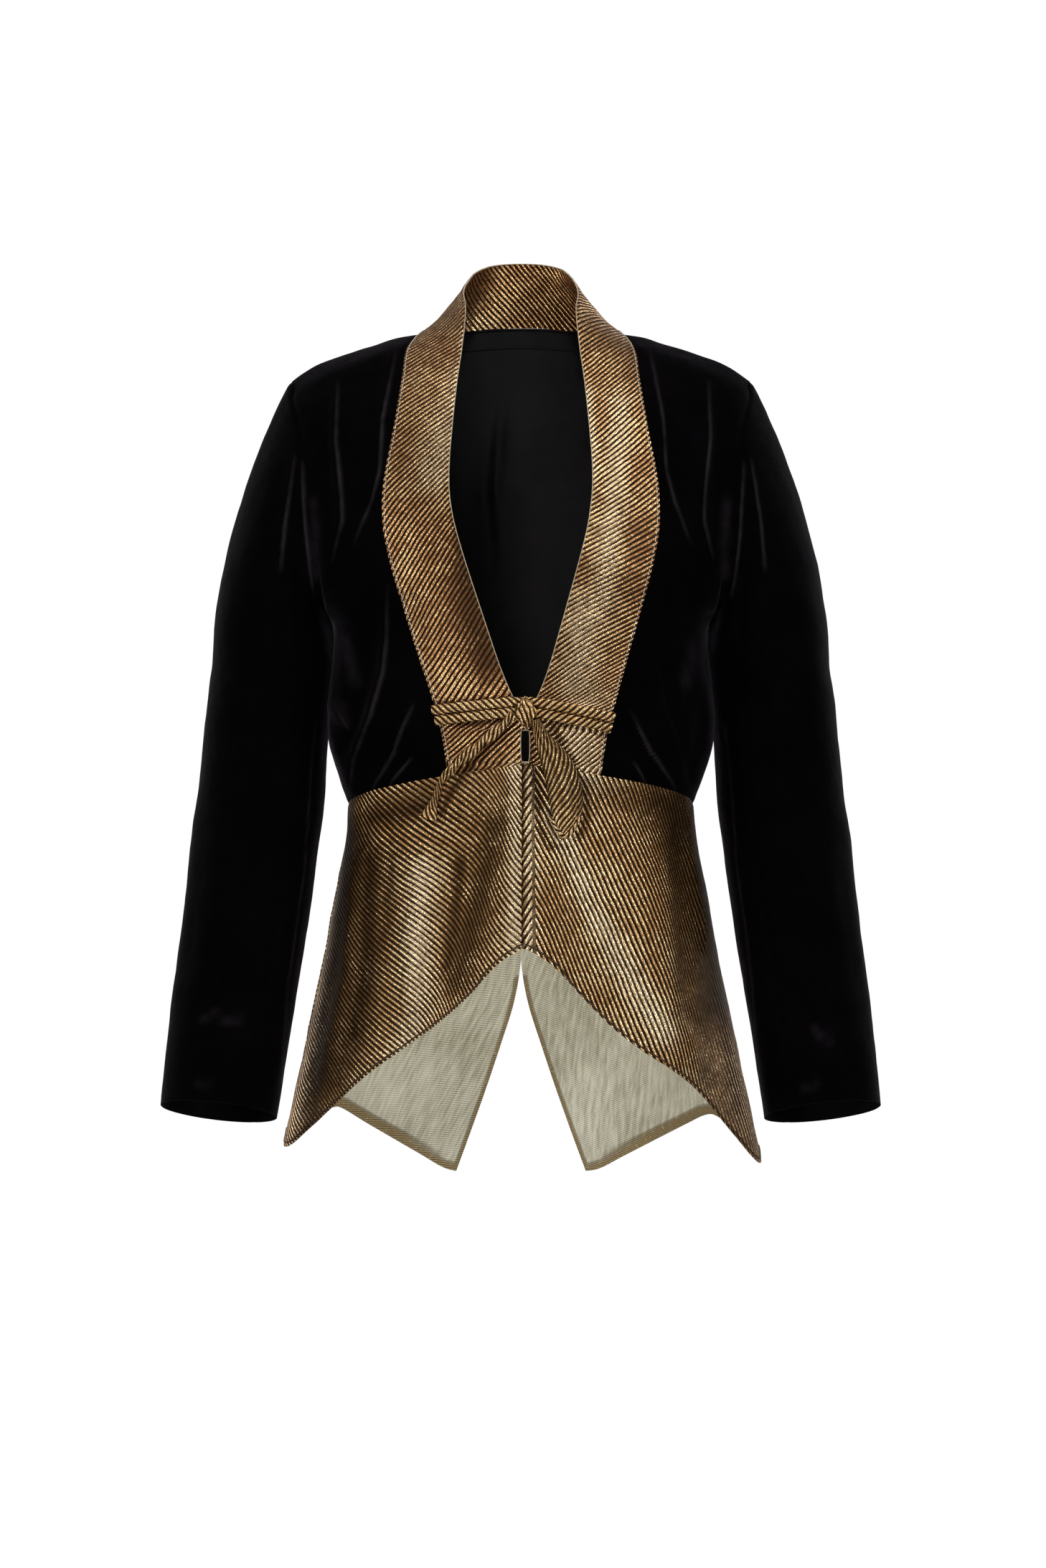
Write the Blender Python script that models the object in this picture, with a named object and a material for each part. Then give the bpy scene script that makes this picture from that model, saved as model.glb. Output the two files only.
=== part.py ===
"""Velvet evening jacket, hollow and filled out as it is worn.

The origin is at the base of the wearer's neck. +Z is up and the front faces -Y, so the wearer's
right is at -X. Every panel is a wall of cloth on one form, which is given by the tables below.
"""
import math

import bmesh
import bpy
import numpy as np

MM = 0.001

# Cloth, in millimetres
VELVET = 1.8
LAME = 1.3
BAND_CLOTH = 2.0
BAND_ROLL = 2.0
NECK_EASE = 0.3
SATIN = 1.0
SEAM_GAP = 0.4
LAYER_GAP = 0.5

# The form, in millimetres: half its width, and its depth before and behind the shoulder line
ROUNDNESS = 0.85
RIDGE_ROUND = 70.0
RIDGE_STEP = (8.0, -8.0)
RIDGE_LEAN = 1.2
SWAY, SWAY_TOP, SWAY_RUN = 3.6, -150.0, 150.0
FOLD_SIDE_FADE, FOLD_CENTRE_FADE = 15.0, 6.0
FORM = """
height  width  front  back
60      207    30     50
12      207    42     60
-14     207    54     68
-42     207    70     79
-68     207    85     86
-104    207    103    95
-148    204    118    101
-170    199    122    102
-192    190    125    102
-214    178    127    101
-232    166    127    100
-247    155    127    99
-262    155    127    98
-290    158    126    97
-320    161    125    96
-342    160    121    94
-356    157    117    92
-372    152    112    88
-384    147    108    84
-396    144    105    82
-412    145    106    86
-436    149    109    92
-476    157    115    101
-520    165    121    110
-572    176    128    118
-620    186    134    124
-660    195    138    128
-700    203    142    133
-740    210    146    137
"""
RIDGE = """
across  height
0       64
44      52
62      34
75      17
85      1
96      0
116     -6
136     -12
154     -18
168     -23
180     -30
192     -39
207     -56
"""
ARMHOLE = """
height  angle
-39     68
-58     66.5
-80     62.5
-104    60
-126    59
-148    59
-170    60
-192    62
-214    68
-232    77
-247    90
"""
# Seams that run round the form: heights at the centre front, the side and the centre back
WAIST_FRONT, WAIST_SIDE, WAIST_BACK = -360.0, -394.0, -384.0

# A row for each level of the fronts and of the collar band: the height of the seam between them
# and how far it lies from the centre, the height of the row's other end at the side or armhole,
# and the place of the band's free edge.
FRONT_ROWS = """
seam   seam_x  side   free_x  free
-368   61.8    -394   0.3     -360
-363   63.2    -387   0.3     -358.5
-355   64      -376   3.5     -356
-337   67      -358   3.5     -334
-328   69      -346   0.3     -331.5
-318   71.5    -334   0.3     -312.5
-308   74.5    -322   7.5     -310.5
-288   80.5    -299   18.5    -286
-262   88.5    -273   30      -250
-238   95.5    -247   38.5    -222
-212   103     -232   46      -197
-188   109     -214   52.5    -173
-164   112.5   -192   56.3    -154
-140   112.5   -170   58.2    -135
-116   109.5   -148   58      -113
-92    105     -126   56.5    -92
-66    101     -104   54.5    -68
-40    98      -80    52      -42
-15    95      -58    48.5    -14
1      85      -39    46      18
"""
# The same band behind the shoulder: its seam round the neck, and its free edge, which stands up
NECK_ROWS = """
seam_x  seam  free_x  free_y  free
78      4.5   54      -4      35
64      7.5   50      13      48
44      9.5   38      33      58
23      11.5  22      48      64
0       12    0       54      66
"""
# Rows above this one leave the form for the neck, with their free edges at these depths
LAST_CHEST_ROW = 16
FREE_EDGE_DEPTHS = {17: -64.0, 18: -46.0, 19: -24.0}
NECK_MIDDLE = 10.0

# Hems of the peplum, by the angle round the form from the centre
FRONT_HEM = """
angle  right  left
0      -507   -508
8      -522   -523
15     -545   -545
24     -570   -572
33     -591   -593
42     -609   -610
51     -629   -629
58     -645   -648
66     -661   -668
74     -673   -684
82     -676   -690
90     -667   -682
"""
BACK_HEM = """
angle  right  left
16     -708   -708
17     -714   -714
28     -696   -698
41     -674   -682
50     -659   -669
58     -652   -661
66     -659   -668
74     -671   -683
82     -675   -689
90     -667   -682
"""
VENT_TOP = -537.0
VENT_ANGLE = 16.0
VENT_LOW = -708.0

# Sleeve rings: the centre, and half the width and depth
SLEEVE = """
height  x      y     width  depth
-276    208    1     50     60
-300    210.8  0     50.2   59.5
-326    213    -1    50.7   59
-356    214.5  -4    52     58
-392    217    -9    53     56.5
-430    222    -16   53     54.5
-470    226    -25   52.3   53
-512    231    -35   51.5   51
-556    237    -46   50.6   49
-598    242    -57   49.5   47.5
-644    247    -69   48.2   46
"""
CAP_STEPS = (0.08, 0.2, 0.35, 0.52, 0.7, 0.86)
CAP_LEAN_TOP, CAP_LEAN_LOW = 1.5, -1.2
CAP_START_TOP, CAP_START_LOW, CAP_END = 0.1, 0.35, 0.4
LEVEL_RINGS = 3
CAP_FORWARD = 0.25
UNDER_FRONT, UNDER_BACK = 3, 3

# The large folds: a soft ridge (a plus depth) or trough that runs down the form between two
# places, each given by its angle from the centre and its height.
FOLDS = """
side  face  top_angle  top   low_angle  low   spread  depth
-1    -1    52         -50   54         -205  4.5     -4.0
1     -1    52         -50   54         -205  4.5     -4.0
-1    -1    38         -30   44         -170  4.5     -2.5
1     -1    37         -25   42         -150  4.5     -2.0
-1    -1    50         -215  66         -386  7.0     -3.5
1     -1    56         -240  70         -386  7.0     -3.5
-1    -1    34         -290  44         -386  6.5     -2.5
1     -1    40         -280  50         -386  6.5     -2.5
-1    1     44         -60   50         -250  7.0     -3.0
1     1     44         -60   50         -250  7.0     -3.0
-1    1     22         -240  30         -380  8.0     -2.5
1     1     26         -250  36         -380  8.0     -2.5
-1    -1    12         -390  18         -640  9.0     -4.5
-1    -1    33         -400  36         -660  9.0     5.0
-1    -1    60         -400  60         -700  9.0     -4.0
1     -1    20         -390  24         -640  9.0     -4.0
1     -1    42         -400  44         -660  9.0     4.5
1     -1    66         -400  62         -700  9.0     -4.0
-1    1     30         -400  34         -760  10.0    5.0
1     1     34         -400  30         -760  10.0    5.0
-1    1     58         -400  58         -760  10.0    -5.0
1     1     60         -400  58         -760  10.0    -5.0
"""
SLEEVE_FOLDS = """
turn  top   low   drift  spread  depth
112   -280  -470  -18    13      -2.5
70    -290  -420  12     12      -2.0
250   -285  -450  15     14      -2.5
95    -500  -640  20     14      -2.0
35    -400  -600  10     12      -1.5
275   -520  -640  -12    14      -2.0
"""

# Tie: each strap runs over the band from its outer seam to the knot
TIE_CLOTH = 2.4
RIBBON_EDGE = 0.35
STRAP_HALF = 3.7
STRAP_END = 1.4
STRAP_POINTS = 9
STRAP_BEND = 0.9
STRAPS = """
side  seam_x  seam    knot
-1    75.0    -316.5  -309.0
-1    73.0    -325.2  -317.4
1     74.5    -322.5  -309.0
1     72.0    -331.3  -317.4
"""
STRAP_NAMES = ("tie_strap_right_upper", "tie_strap_right_lower", "tie_strap_left_upper", "tie_strap_left_lower")
KNOT_HALF = (7.0, 4.6, 10.5)
KNOT_CENTRE_HEIGHT = -318.5
KNOT_PINCH = 0.12
# Tie ends: how far from the centre front, the height, half the width, and how far the cloth
# stands off the jacket
TIE_END_RIGHT = """
x     height  half  lift
-9    -320.5  3.6   2.7
-22   -333    4.2   2.0
-39   -347    4.6   1.2
-56   -362    4.0   1.2
-66   -374    3.2   1.4
-71   -388    2.6   1.0
-77   -404    3.6   0.6
"""
TIE_LOOP_LEFT = """
x     height  half  lift
8     -324.5  3.4   2.7
13    -339    6.5   2.4
21    -354    10.5  3.0
27.5  -370    13.0  3.4
31    -386    13.8  2.8
32.5  -400    12.0  1.4
31.5  -413    7.0   0.4
30    -420    3.0   0.1
"""

# Black tape inside the back neck, under the band's seam: its edges are this part of a row of the
# back below the seam
TAPE_LOW = 0.94
TAPE_HIGH = 0.03

COLOURS = {
    "velvet": ((0.012, 0.011, 0.013, 1.0), 0.95, 0.0),
    "satin": ((0.014, 0.014, 0.017, 1.0), 0.4, 0.0),
    "gold": ((0.38, 0.27, 0.15, 1.0), 0.38, 0.85),
}


def table(text):
    """The rows of a table under its named columns, as one array for each column."""
    lines = [line.split() for line in text.strip().splitlines()]
    values = np.array(lines[1:], dtype=float)
    return {name: values[:, i] for i, name in enumerate(lines[0])}


def smooth(x, places, values):
    """A smooth curve through the values at the places, with no swing past its neighbours."""
    if places[0] > places[-1]:
        places, values = places[::-1], values[::-1]
    step = np.diff(places)
    slope = np.diff(values) / step
    joined = np.zeros(len(places))
    same = slope[1:] * slope[:-1] > 0
    total = np.where(same, slope[1:] + slope[:-1], 1.0)
    joined[1:-1] = np.where(same, 2 * slope[1:] * slope[:-1] / total, 0.0)
    joined[0], joined[-1] = slope[0], slope[-1]
    x = np.clip(np.asarray(x, dtype=float), places[0], places[-1])
    i = np.clip(np.searchsorted(places, x, side="right") - 1, 0, len(step) - 1)
    t = (x - places[i]) / step[i]
    return (
        values[i] * (1 + 2 * t) * (1 - t) ** 2
        + values[i + 1] * t * t * (3 - 2 * t)
        + step[i] * t * (1 - t) * (joined[i] * (1 - t) - joined[i + 1] * t)
    )


FORM_T, RIDGE_T, ARMHOLE_T = table(FORM), table(RIDGE), table(ARMHOLE)
FRONT_T, NECK_T = table(FRONT_ROWS), table(NECK_ROWS)
FRONT_HEM_T, BACK_HEM_T, SLEEVE_T = table(FRONT_HEM), table(BACK_HEM), table(SLEEVE)
FOLDS_T, SLEEVE_FOLDS_T = table(FOLDS), table(SLEEVE_FOLDS)


def half_width(height):
    return smooth(height, FORM_T["height"], FORM_T["width"])


def depth(face, height):
    return smooth(height, FORM_T["height"], FORM_T["front" if face < 0 else "back"])


def angle_of(x, height):
    """The angle round the form, from its centre to its side, of a place this far across."""
    return np.degrees(np.arcsin(np.clip(x / half_width(height), 0, 1)))


def fade(t):
    """From 0 to 1 and back to 0 along a fold, with soft ends."""
    t = np.clip(t, 0, 1)
    return np.sin(np.pi * t) ** 0.8


def drape(side, face, angle, height):
    """How far the folds move the cloth off the form."""
    moved = np.zeros(np.broadcast(angle, height).shape)
    for i in range(len(FOLDS_T["side"])):
        row = {name: values[i] for name, values in FOLDS_T.items()}
        if row["side"] != side or row["face"] != face:
            continue
        along = (height - row["top"]) / (row["low"] - row["top"])
        line = row["top_angle"] + (row["low_angle"] - row["top_angle"]) * np.clip(along, 0, 1)
        moved = moved + row["depth"] * fade(along) * np.exp(-(((angle - line) / row["spread"]) ** 2))
    edge = np.clip((90 - angle) / FOLD_SIDE_FADE, 0, 1) * np.clip(angle / FOLD_CENTRE_FADE, 0, 1)
    return moved * edge


def surface(side, face, angle, height):
    """A point of the form's outer face, and the direction out of the cloth there.

    The section is a soft oval. Near the shoulder it closes over the ridge as a quarter turn.
    """
    angle, height = np.broadcast_arrays(np.asarray(angle, float), np.asarray(height, float))
    wide, deep, a = half_width(height), depth(face, height), np.radians(angle)
    across = wide * np.sin(a)
    below = np.clip((smooth(across, RIDGE_T["across"], RIDGE_T["height"]) - height) / RIDGE_ROUND, 0, 1)
    turn = np.sqrt(np.clip(1 - (1 - below) ** 2, 0, 1))
    x = side * across
    y = face * deep * np.cos(a) ** ROUNDNESS * turn
    sway = SWAY * np.clip((SWAY_TOP - height) / SWAY_RUN, 0, 1) * np.cos(a) ** 2 * (face < 0)
    out = np.stack([x / wide**2, y / deep**2, np.zeros_like(x)], -1)
    out /= np.maximum(np.linalg.norm(out, axis=-1, keepdims=True), 1e-9)
    ahead, behind = (smooth(across + step, RIDGE_T["across"], RIDGE_T["height"]) for step in RIDGE_STEP)
    lean = np.clip((behind - ahead) / (RIDGE_STEP[0] - RIDGE_STEP[1]), 0, RIDGE_LEAN)
    up = np.stack([side * lean, np.zeros_like(x), np.ones_like(x)], -1)
    up /= np.linalg.norm(up, axis=-1, keepdims=True)
    out = out * turn[..., None] + up * (1 - below)[..., None]
    out /= np.linalg.norm(out, axis=-1, keepdims=True)
    point = np.stack([x + sway, y, height], -1)
    return point + out * drape(side, face, angle, height)[..., None], out


def wall(name, outer, inner, material):
    """One closed wall of cloth between two grids of the same size, with its four edges."""
    rows, columns = outer.shape[:2]
    count = rows * columns
    points = np.concatenate([outer.reshape(-1, 3), inner.reshape(-1, 3)]) * MM
    index = np.arange(count).reshape(rows, columns)
    a, b, c, d = (part.ravel() for part in (index[:-1, :-1], index[:-1, 1:], index[1:, 1:], index[1:, :-1]))
    faces = np.concatenate([np.stack([a, b, c], -1), np.stack([a, c, d], -1)])
    ring = np.concatenate([index[0, :-1], index[:-1, -1], index[-1, :0:-1], index[:0:-1, 0]])
    after = np.roll(ring, -1)
    rim = np.concatenate([
        np.stack([after, ring, ring + count], -1), np.stack([after, ring + count, after + count], -1)
    ])
    mesh = bpy.data.meshes.new(name)
    mesh.from_pydata(points.tolist(), [], np.concatenate([faces, faces[:, ::-1] + count, rim]).tolist())
    return finish(name, mesh, material)


def finish(name, mesh, material):
    """A named object of its own, its faces turned out, with its own material."""
    shape = bmesh.new()
    shape.from_mesh(mesh)
    bmesh.ops.recalc_face_normals(shape, faces=shape.faces)
    if shape.calc_volume(signed=True) < 0:
        bmesh.ops.reverse_faces(shape, faces=shape.faces)
    bmesh.ops.triangulate(shape, faces=shape.faces, quad_method="SHORT_EDGE")
    shape.to_mesh(mesh)
    shape.free()
    mesh.shade_smooth()
    mesh.set_sharp_from_angle(angle=math.radians(50))
    thing = bpy.data.objects.new(name, mesh)
    colour, rough, metal = COLOURS[material]
    cloth = bpy.data.materials.new(name + "_cloth")
    cloth.use_nodes = True
    shader = cloth.node_tree.nodes["Principled BSDF"]
    shader.inputs["Base Color"].default_value = colour
    shader.inputs["Roughness"].default_value = rough
    shader.inputs["Metallic"].default_value = metal
    mesh.materials.append(cloth)
    JACKET.objects.link(thing)
    return thing


def pulled_in(grid, gaps):
    """A grid with its edges drawn back from their seams by half a gap each.

    gaps names the edges to draw back: first and last row, first and last column.
    """
    grid = grid.copy()
    for edge, beside in (("first_row", (0, 1)), ("last_row", (-1, -2))):
        if edge in gaps:
            step = grid[beside[1]] - grid[beside[0]]
            grid[beside[0]] += step / np.linalg.norm(step, axis=-1, keepdims=True) * SEAM_GAP / 2
    for edge, beside in (("first_column", (0, 1)), ("last_column", (-1, -2))):
        if edge in gaps:
            step = grid[:, beside[1]] - grid[:, beside[0]]
            grid[:, beside[0]] += step / np.linalg.norm(step, axis=-1, keepdims=True) * SEAM_GAP / 2
    return grid


ALL_EDGES = ("first_row", "last_row", "first_column", "last_column")


def cloth_panel(name, outer, out, thickness, material, gaps=ALL_EDGES):
    outer, inner = pulled_in(outer, gaps), pulled_in(outer - out * thickness, gaps)
    return wall(name, outer, inner, material)


def waist(face, angle):
    """The height of the waist seam, which dips from the centre to the side."""
    centre = WAIST_FRONT if face < 0 else WAIST_BACK
    return centre + (WAIST_SIDE - centre) * np.asarray(angle, float) / 90


def armhole_angle(height):
    below = height <= ARMHOLE_T["height"][-1]
    return np.where(below, 90.0, smooth(height, ARMHOLE_T["height"], ARMHOLE_T["angle"]))


FRONT_STEPS = 8
BAND_STEPS = 3
RIDGE_ROWS = 4
NECK_ROWS_BLENDED = 6
SIDE_HEIGHTS = FRONT_T["side"]
SIDE_ANGLES = armhole_angle(SIDE_HEIGHTS)
SEAM_ANGLES = angle_of(FRONT_T["seam_x"], FRONT_T["seam"])
UNDERARM_ROW = int(np.argmin(np.abs(SIDE_HEIGHTS - ARMHOLE_T["height"][-1])))
TOP_ROW = len(SIDE_HEIGHTS) - 1


def last_rows(count):
    """A weight for each row, from 0 up to 1 over this many of the top ones."""
    return np.clip((np.arange(TOP_ROW + 1) - TOP_ROW + count) / count, 0, 1)[:, None]


def bodice_rows():
    """Angles and heights from the collar seam to the side, the same for front and back.

    The last row lies on the shoulder's ridge, and the few below it close up towards it.
    """
    u = np.linspace(0, 1, FRONT_STEPS + 1)
    angle = SEAM_ANGLES[:, None] + (SIDE_ANGLES - SEAM_ANGLES)[:, None] * u
    height = FRONT_T["seam"][:, None] + (SIDE_HEIGHTS - FRONT_T["seam"])[:, None] * u
    across = half_width(height[-1]) * np.sin(np.radians(angle[-1]))
    ridge = smooth(across, RIDGE_T["across"], RIDGE_T["height"])
    return angle, height + last_rows(RIDGE_ROWS) * (ridge - height[-1])


def build_front(side, name):
    angle, height = bodice_rows()
    height[0] = waist(-1, angle[0])
    outer, out = surface(side, -1, angle, height)
    cloth_panel(name, outer, out, VELVET, "velvet")


def back_half():
    """Angles and heights of one half of the back, from its centre to the side.

    Its first columns end in the neck's curve, and the rest lie behind those of the front.
    """
    angle, height = bodice_rows()
    neck_x, neck_z = NECK_T["seam_x"][::-1], NECK_T["seam"][::-1]
    part = angle_of(neck_x, neck_z) / SEAM_ANGLES[-1]
    seam = FRONT_T["seam"][:, None]
    share = (seam - seam[0]) / (seam[-1] - seam[0])
    centre = WAIST_BACK + (neck_z[0] - WAIST_BACK) * share
    near = centre + (seam - centre) * part
    near = near + last_rows(NECK_ROWS_BLENDED) ** 2 * (neck_z - near[-1])
    angle, height = np.hstack([SEAM_ANGLES[:, None] * part, angle]), np.hstack([near, height])
    height[0] = waist(1, angle[0])
    return angle, height


def both_sides(make):
    """A grid over the wearer's right and left halves, joined at the centre back."""
    right, left = make(-1), make(1)
    return tuple(np.concatenate([r[:, ::-1], l[:, 1:]], axis=1) for r, l in zip(right, left))


def back_grid():
    angle, height = back_half()
    return both_sides(lambda side: surface(side, 1, angle, height))


def build_back():
    outer, out = back_grid()
    cloth_panel("back", outer, out, VELVET, "velvet")


def sampled(grid, rows, columns):
    """A grid read between its own points, at these parts of its rows and columns."""
    i = np.minimum(rows.astype(int), grid.shape[0] - 2)
    j = np.minimum(columns.astype(int), grid.shape[1] - 2)
    p, q = (rows - i)[..., None], (columns - j)[..., None]
    low = grid[i, j] * (1 - q) + grid[i, j + 1] * q
    high = grid[i + 1, j] * (1 - q) + grid[i + 1, j + 1] * q
    return low * (1 - p) + high * p


def inside_back(name, rows, columns):
    """A layer of satin just inside the back, from the back's own points."""
    outer, out = (sampled(grid, rows, columns) for grid in back_grid())
    outer = outer - out * (VELVET + LAYER_GAP)
    cloth_panel(name, outer, out, SATIN, "satin", ())


def build_lining():
    """The satin inside the back, from the waist to the tape, and to just inside each side seam."""
    last = back_grid()[0].shape[1] - 1
    rows, columns = np.meshgrid(np.arange(1.0, TOP_ROW), np.arange(1.0, last), indexing="ij")
    inside_back("back_lining", rows, columns)


def build_tape():
    """The narrow tape inside the back neck, just under the seam of the band."""
    middle = (back_grid()[0].shape[1] - 1) // 2
    reach = len(NECK_T["seam"]) - 2
    columns = np.arange(middle - reach, middle + reach + 1) + 0.0
    rows = np.array([TOP_ROW - TAPE_LOW, TOP_ROW - TAPE_HIGH])
    inside_back("neck_tape", *np.meshgrid(rows, columns, indexing="ij"))


def band_half(side):
    """The band from the waist to the centre back: a row for each level, from seam to free edge."""
    seam, free = FRONT_T["seam"], FRONT_T["free"]
    base, base_out = surface(side, -1, SEAM_ANGLES, seam)
    free_angle = angle_of(FRONT_T["free_x"], free)
    rows = []
    for i in range(TOP_ROW + 1):
        u = np.linspace(0, 1, BAND_STEPS + 1)
        if i <= LAST_CHEST_ROW:
            angle = SEAM_ANGLES[i] + (free_angle[i] - SEAM_ANGLES[i]) * u
            height = waist(-1, angle) if i == 0 else seam[i] + (free[i] - seam[i]) * u
            rows.append(surface(side, -1, angle, height))
        else:
            end = np.array([side * FRONT_T["free_x"][i], FREE_EDGE_DEPTHS[i], free[i]])
            rows.append(strip(base[i], base_out[i], end))
    base, base_out = surface(side, 1, angle_of(NECK_T["seam_x"], NECK_T["seam"]), NECK_T["seam"])
    for i in range(len(base)):
        end = np.array([side * NECK_T["free_x"][i], NECK_T["free_y"][i], NECK_T["free"][i]])
        rows.append(strip(base[i], base_out[i], end))
    return tuple(np.array(part) for part in zip(*rows))


def strip(start, start_out, end):
    """A row of the band where it stands up round the neck, from its seam to its free edge."""
    u = np.linspace(0, 1, BAND_STEPS + 1)[:, None]
    rise = (end - start) / np.linalg.norm(end - start)
    start = start + rise * NECK_EASE
    line = start + (end - start) * u
    level = (start + end) / 2 - np.array([0.0, NECK_MIDDLE, 0.0])
    level[2] = 0.0
    level /= max(np.linalg.norm(level), 1e-6)
    facing = level - rise * (level @ rise)
    facing /= np.linalg.norm(facing)
    line = line + facing * np.sin(np.pi * u) ** 2 * BAND_ROLL
    out = start_out + (facing - start_out) * np.minimum(2 * u, 1)
    return line, out / np.linalg.norm(out, axis=-1, keepdims=True)


def build_band():
    """The whole band. Round the neck its wall turns from its seam's direction to its own."""
    right, right_out = band_half(-1)
    left, left_out = band_half(1)
    outer = np.concatenate([right, left[-2::-1]])
    out = np.concatenate([right_out, left_out[-2::-1]])
    centre = len(right) - 1
    neck = centre - LAST_CHEST_ROW - 1
    weight = np.linspace(0, 1, BAND_STEPS + 1)[:, None] ** 0.5
    for i in range(centre - neck, centre + neck + 1):
        flat = np.cross(np.gradient(outer[i], axis=0), outer[i + 1] - outer[i - 1])
        flat /= np.linalg.norm(flat, axis=-1, keepdims=True)
        flat *= np.sign((flat * out[i]).sum(-1, keepdims=True))
        out[i] = out[i] * (1 - weight) + flat * weight
        out[i] /= np.linalg.norm(out[i], axis=-1, keepdims=True)
    cloth_panel("collar_band", outer, out, BAND_CLOTH, "gold", ("first_row", "last_row", "first_column"))


PEPLUM_ROWS = 9


def peplum_grid(side, face, top_angle, low_angle, hem):
    """Angles and heights of a peplum panel, from the waist seam down to its hem."""
    v = np.linspace(0, 1, PEPLUM_ROWS + 1)[:, None]
    low = smooth(low_angle, hem["angle"], hem["left" if side > 0 else "right"])
    top = waist(face, top_angle)
    return top_angle + (low_angle - top_angle) * v, top + (low - top) * v


def build_peplum():
    band_angles = np.linspace(0, 1, BAND_STEPS + 1) * SEAM_ANGLES[0]
    first_angle, _ = bodice_rows()
    front = np.concatenate([band_angles, first_angle[0, 1:]])
    front[0] = angle_of(FRONT_T["free_x"][0], WAIST_FRONT)
    back = back_half()[0][0]
    for side, hand in ((-1, "right"), (1, "left")):
        angle, height = peplum_grid(side, -1, front, front, FRONT_HEM_T)
        outer, out = surface(side, -1, angle, height)
        cloth_panel("peplum_front_" + hand, outer, out, LAME, "gold")
        low = VENT_ANGLE + (90 - VENT_ANGLE) * (back / 90)
        angle, height = peplum_grid(side, 1, back, low, BACK_HEM_T)
        open_share = np.clip((VENT_TOP - height) / (VENT_TOP - VENT_LOW), 0, 1)
        angle = back + (low - back) * open_share
        outer, out = surface(side, 1, angle, height)
        cloth_panel("peplum_back_" + hand, outer, out, LAME, "gold")


def sleeve_ring(side, height_row, turn):
    """A ring of the sleeve, square to the arm's line, and the direction out of it.

    turn goes round from the outer side (0) by the front (90) and the inner side (180).
    """
    place = {name: values[height_row] for name, values in SLEEVE_T.items()}
    before, after = max(height_row - 1, 0), min(height_row + 1, len(SLEEVE_T["x"]) - 1)
    run = np.array([
        side * (SLEEVE_T["x"][after] - SLEEVE_T["x"][before]),
        SLEEVE_T["y"][after] - SLEEVE_T["y"][before],
        SLEEVE_T["height"][after] - SLEEVE_T["height"][before],
    ])
    level = min(height_row / LEVEL_RINGS, 1)
    run = run / np.linalg.norm(run) * level + np.array([0, 0, -1.0]) * (1 - level)
    run /= np.linalg.norm(run)
    outward = np.array([side, 0, 0]) - run * (side * run[0])
    forward = np.array([0, -1.0, 0]) + run * run[1]
    outward, forward = outward / np.linalg.norm(outward), forward / np.linalg.norm(forward)
    a = np.radians(turn)[:, None]
    moved = np.zeros(len(turn))
    for i in range(len(SLEEVE_FOLDS_T["turn"])):
        row = {name: values[i] for name, values in SLEEVE_FOLDS_T.items()}
        along = (place["height"] - row["top"]) / (row["low"] - row["top"])
        line = row["turn"] + row["drift"] * np.clip(along, 0, 1)
        moved += row["depth"] * fade(along) * np.exp(-(((turn - line) / row["spread"]) ** 2))
    centre = np.array([side * place["x"], place["y"], place["height"]])
    out = outward * np.cos(a) / place["width"] + forward * np.sin(a) / place["depth"]
    out /= np.linalg.norm(out, axis=-1, keepdims=True)
    ring = centre + outward * np.cos(a) * place["width"] + forward * np.sin(a) * place["depth"]
    return ring + out * moved[:, None], out, run


def armhole(side, face):
    rows = slice(UNDERARM_ROW, TOP_ROW + 1)
    return surface(side, face, SIDE_ANGLES[rows], SIDE_HEIGHTS[rows])


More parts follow.
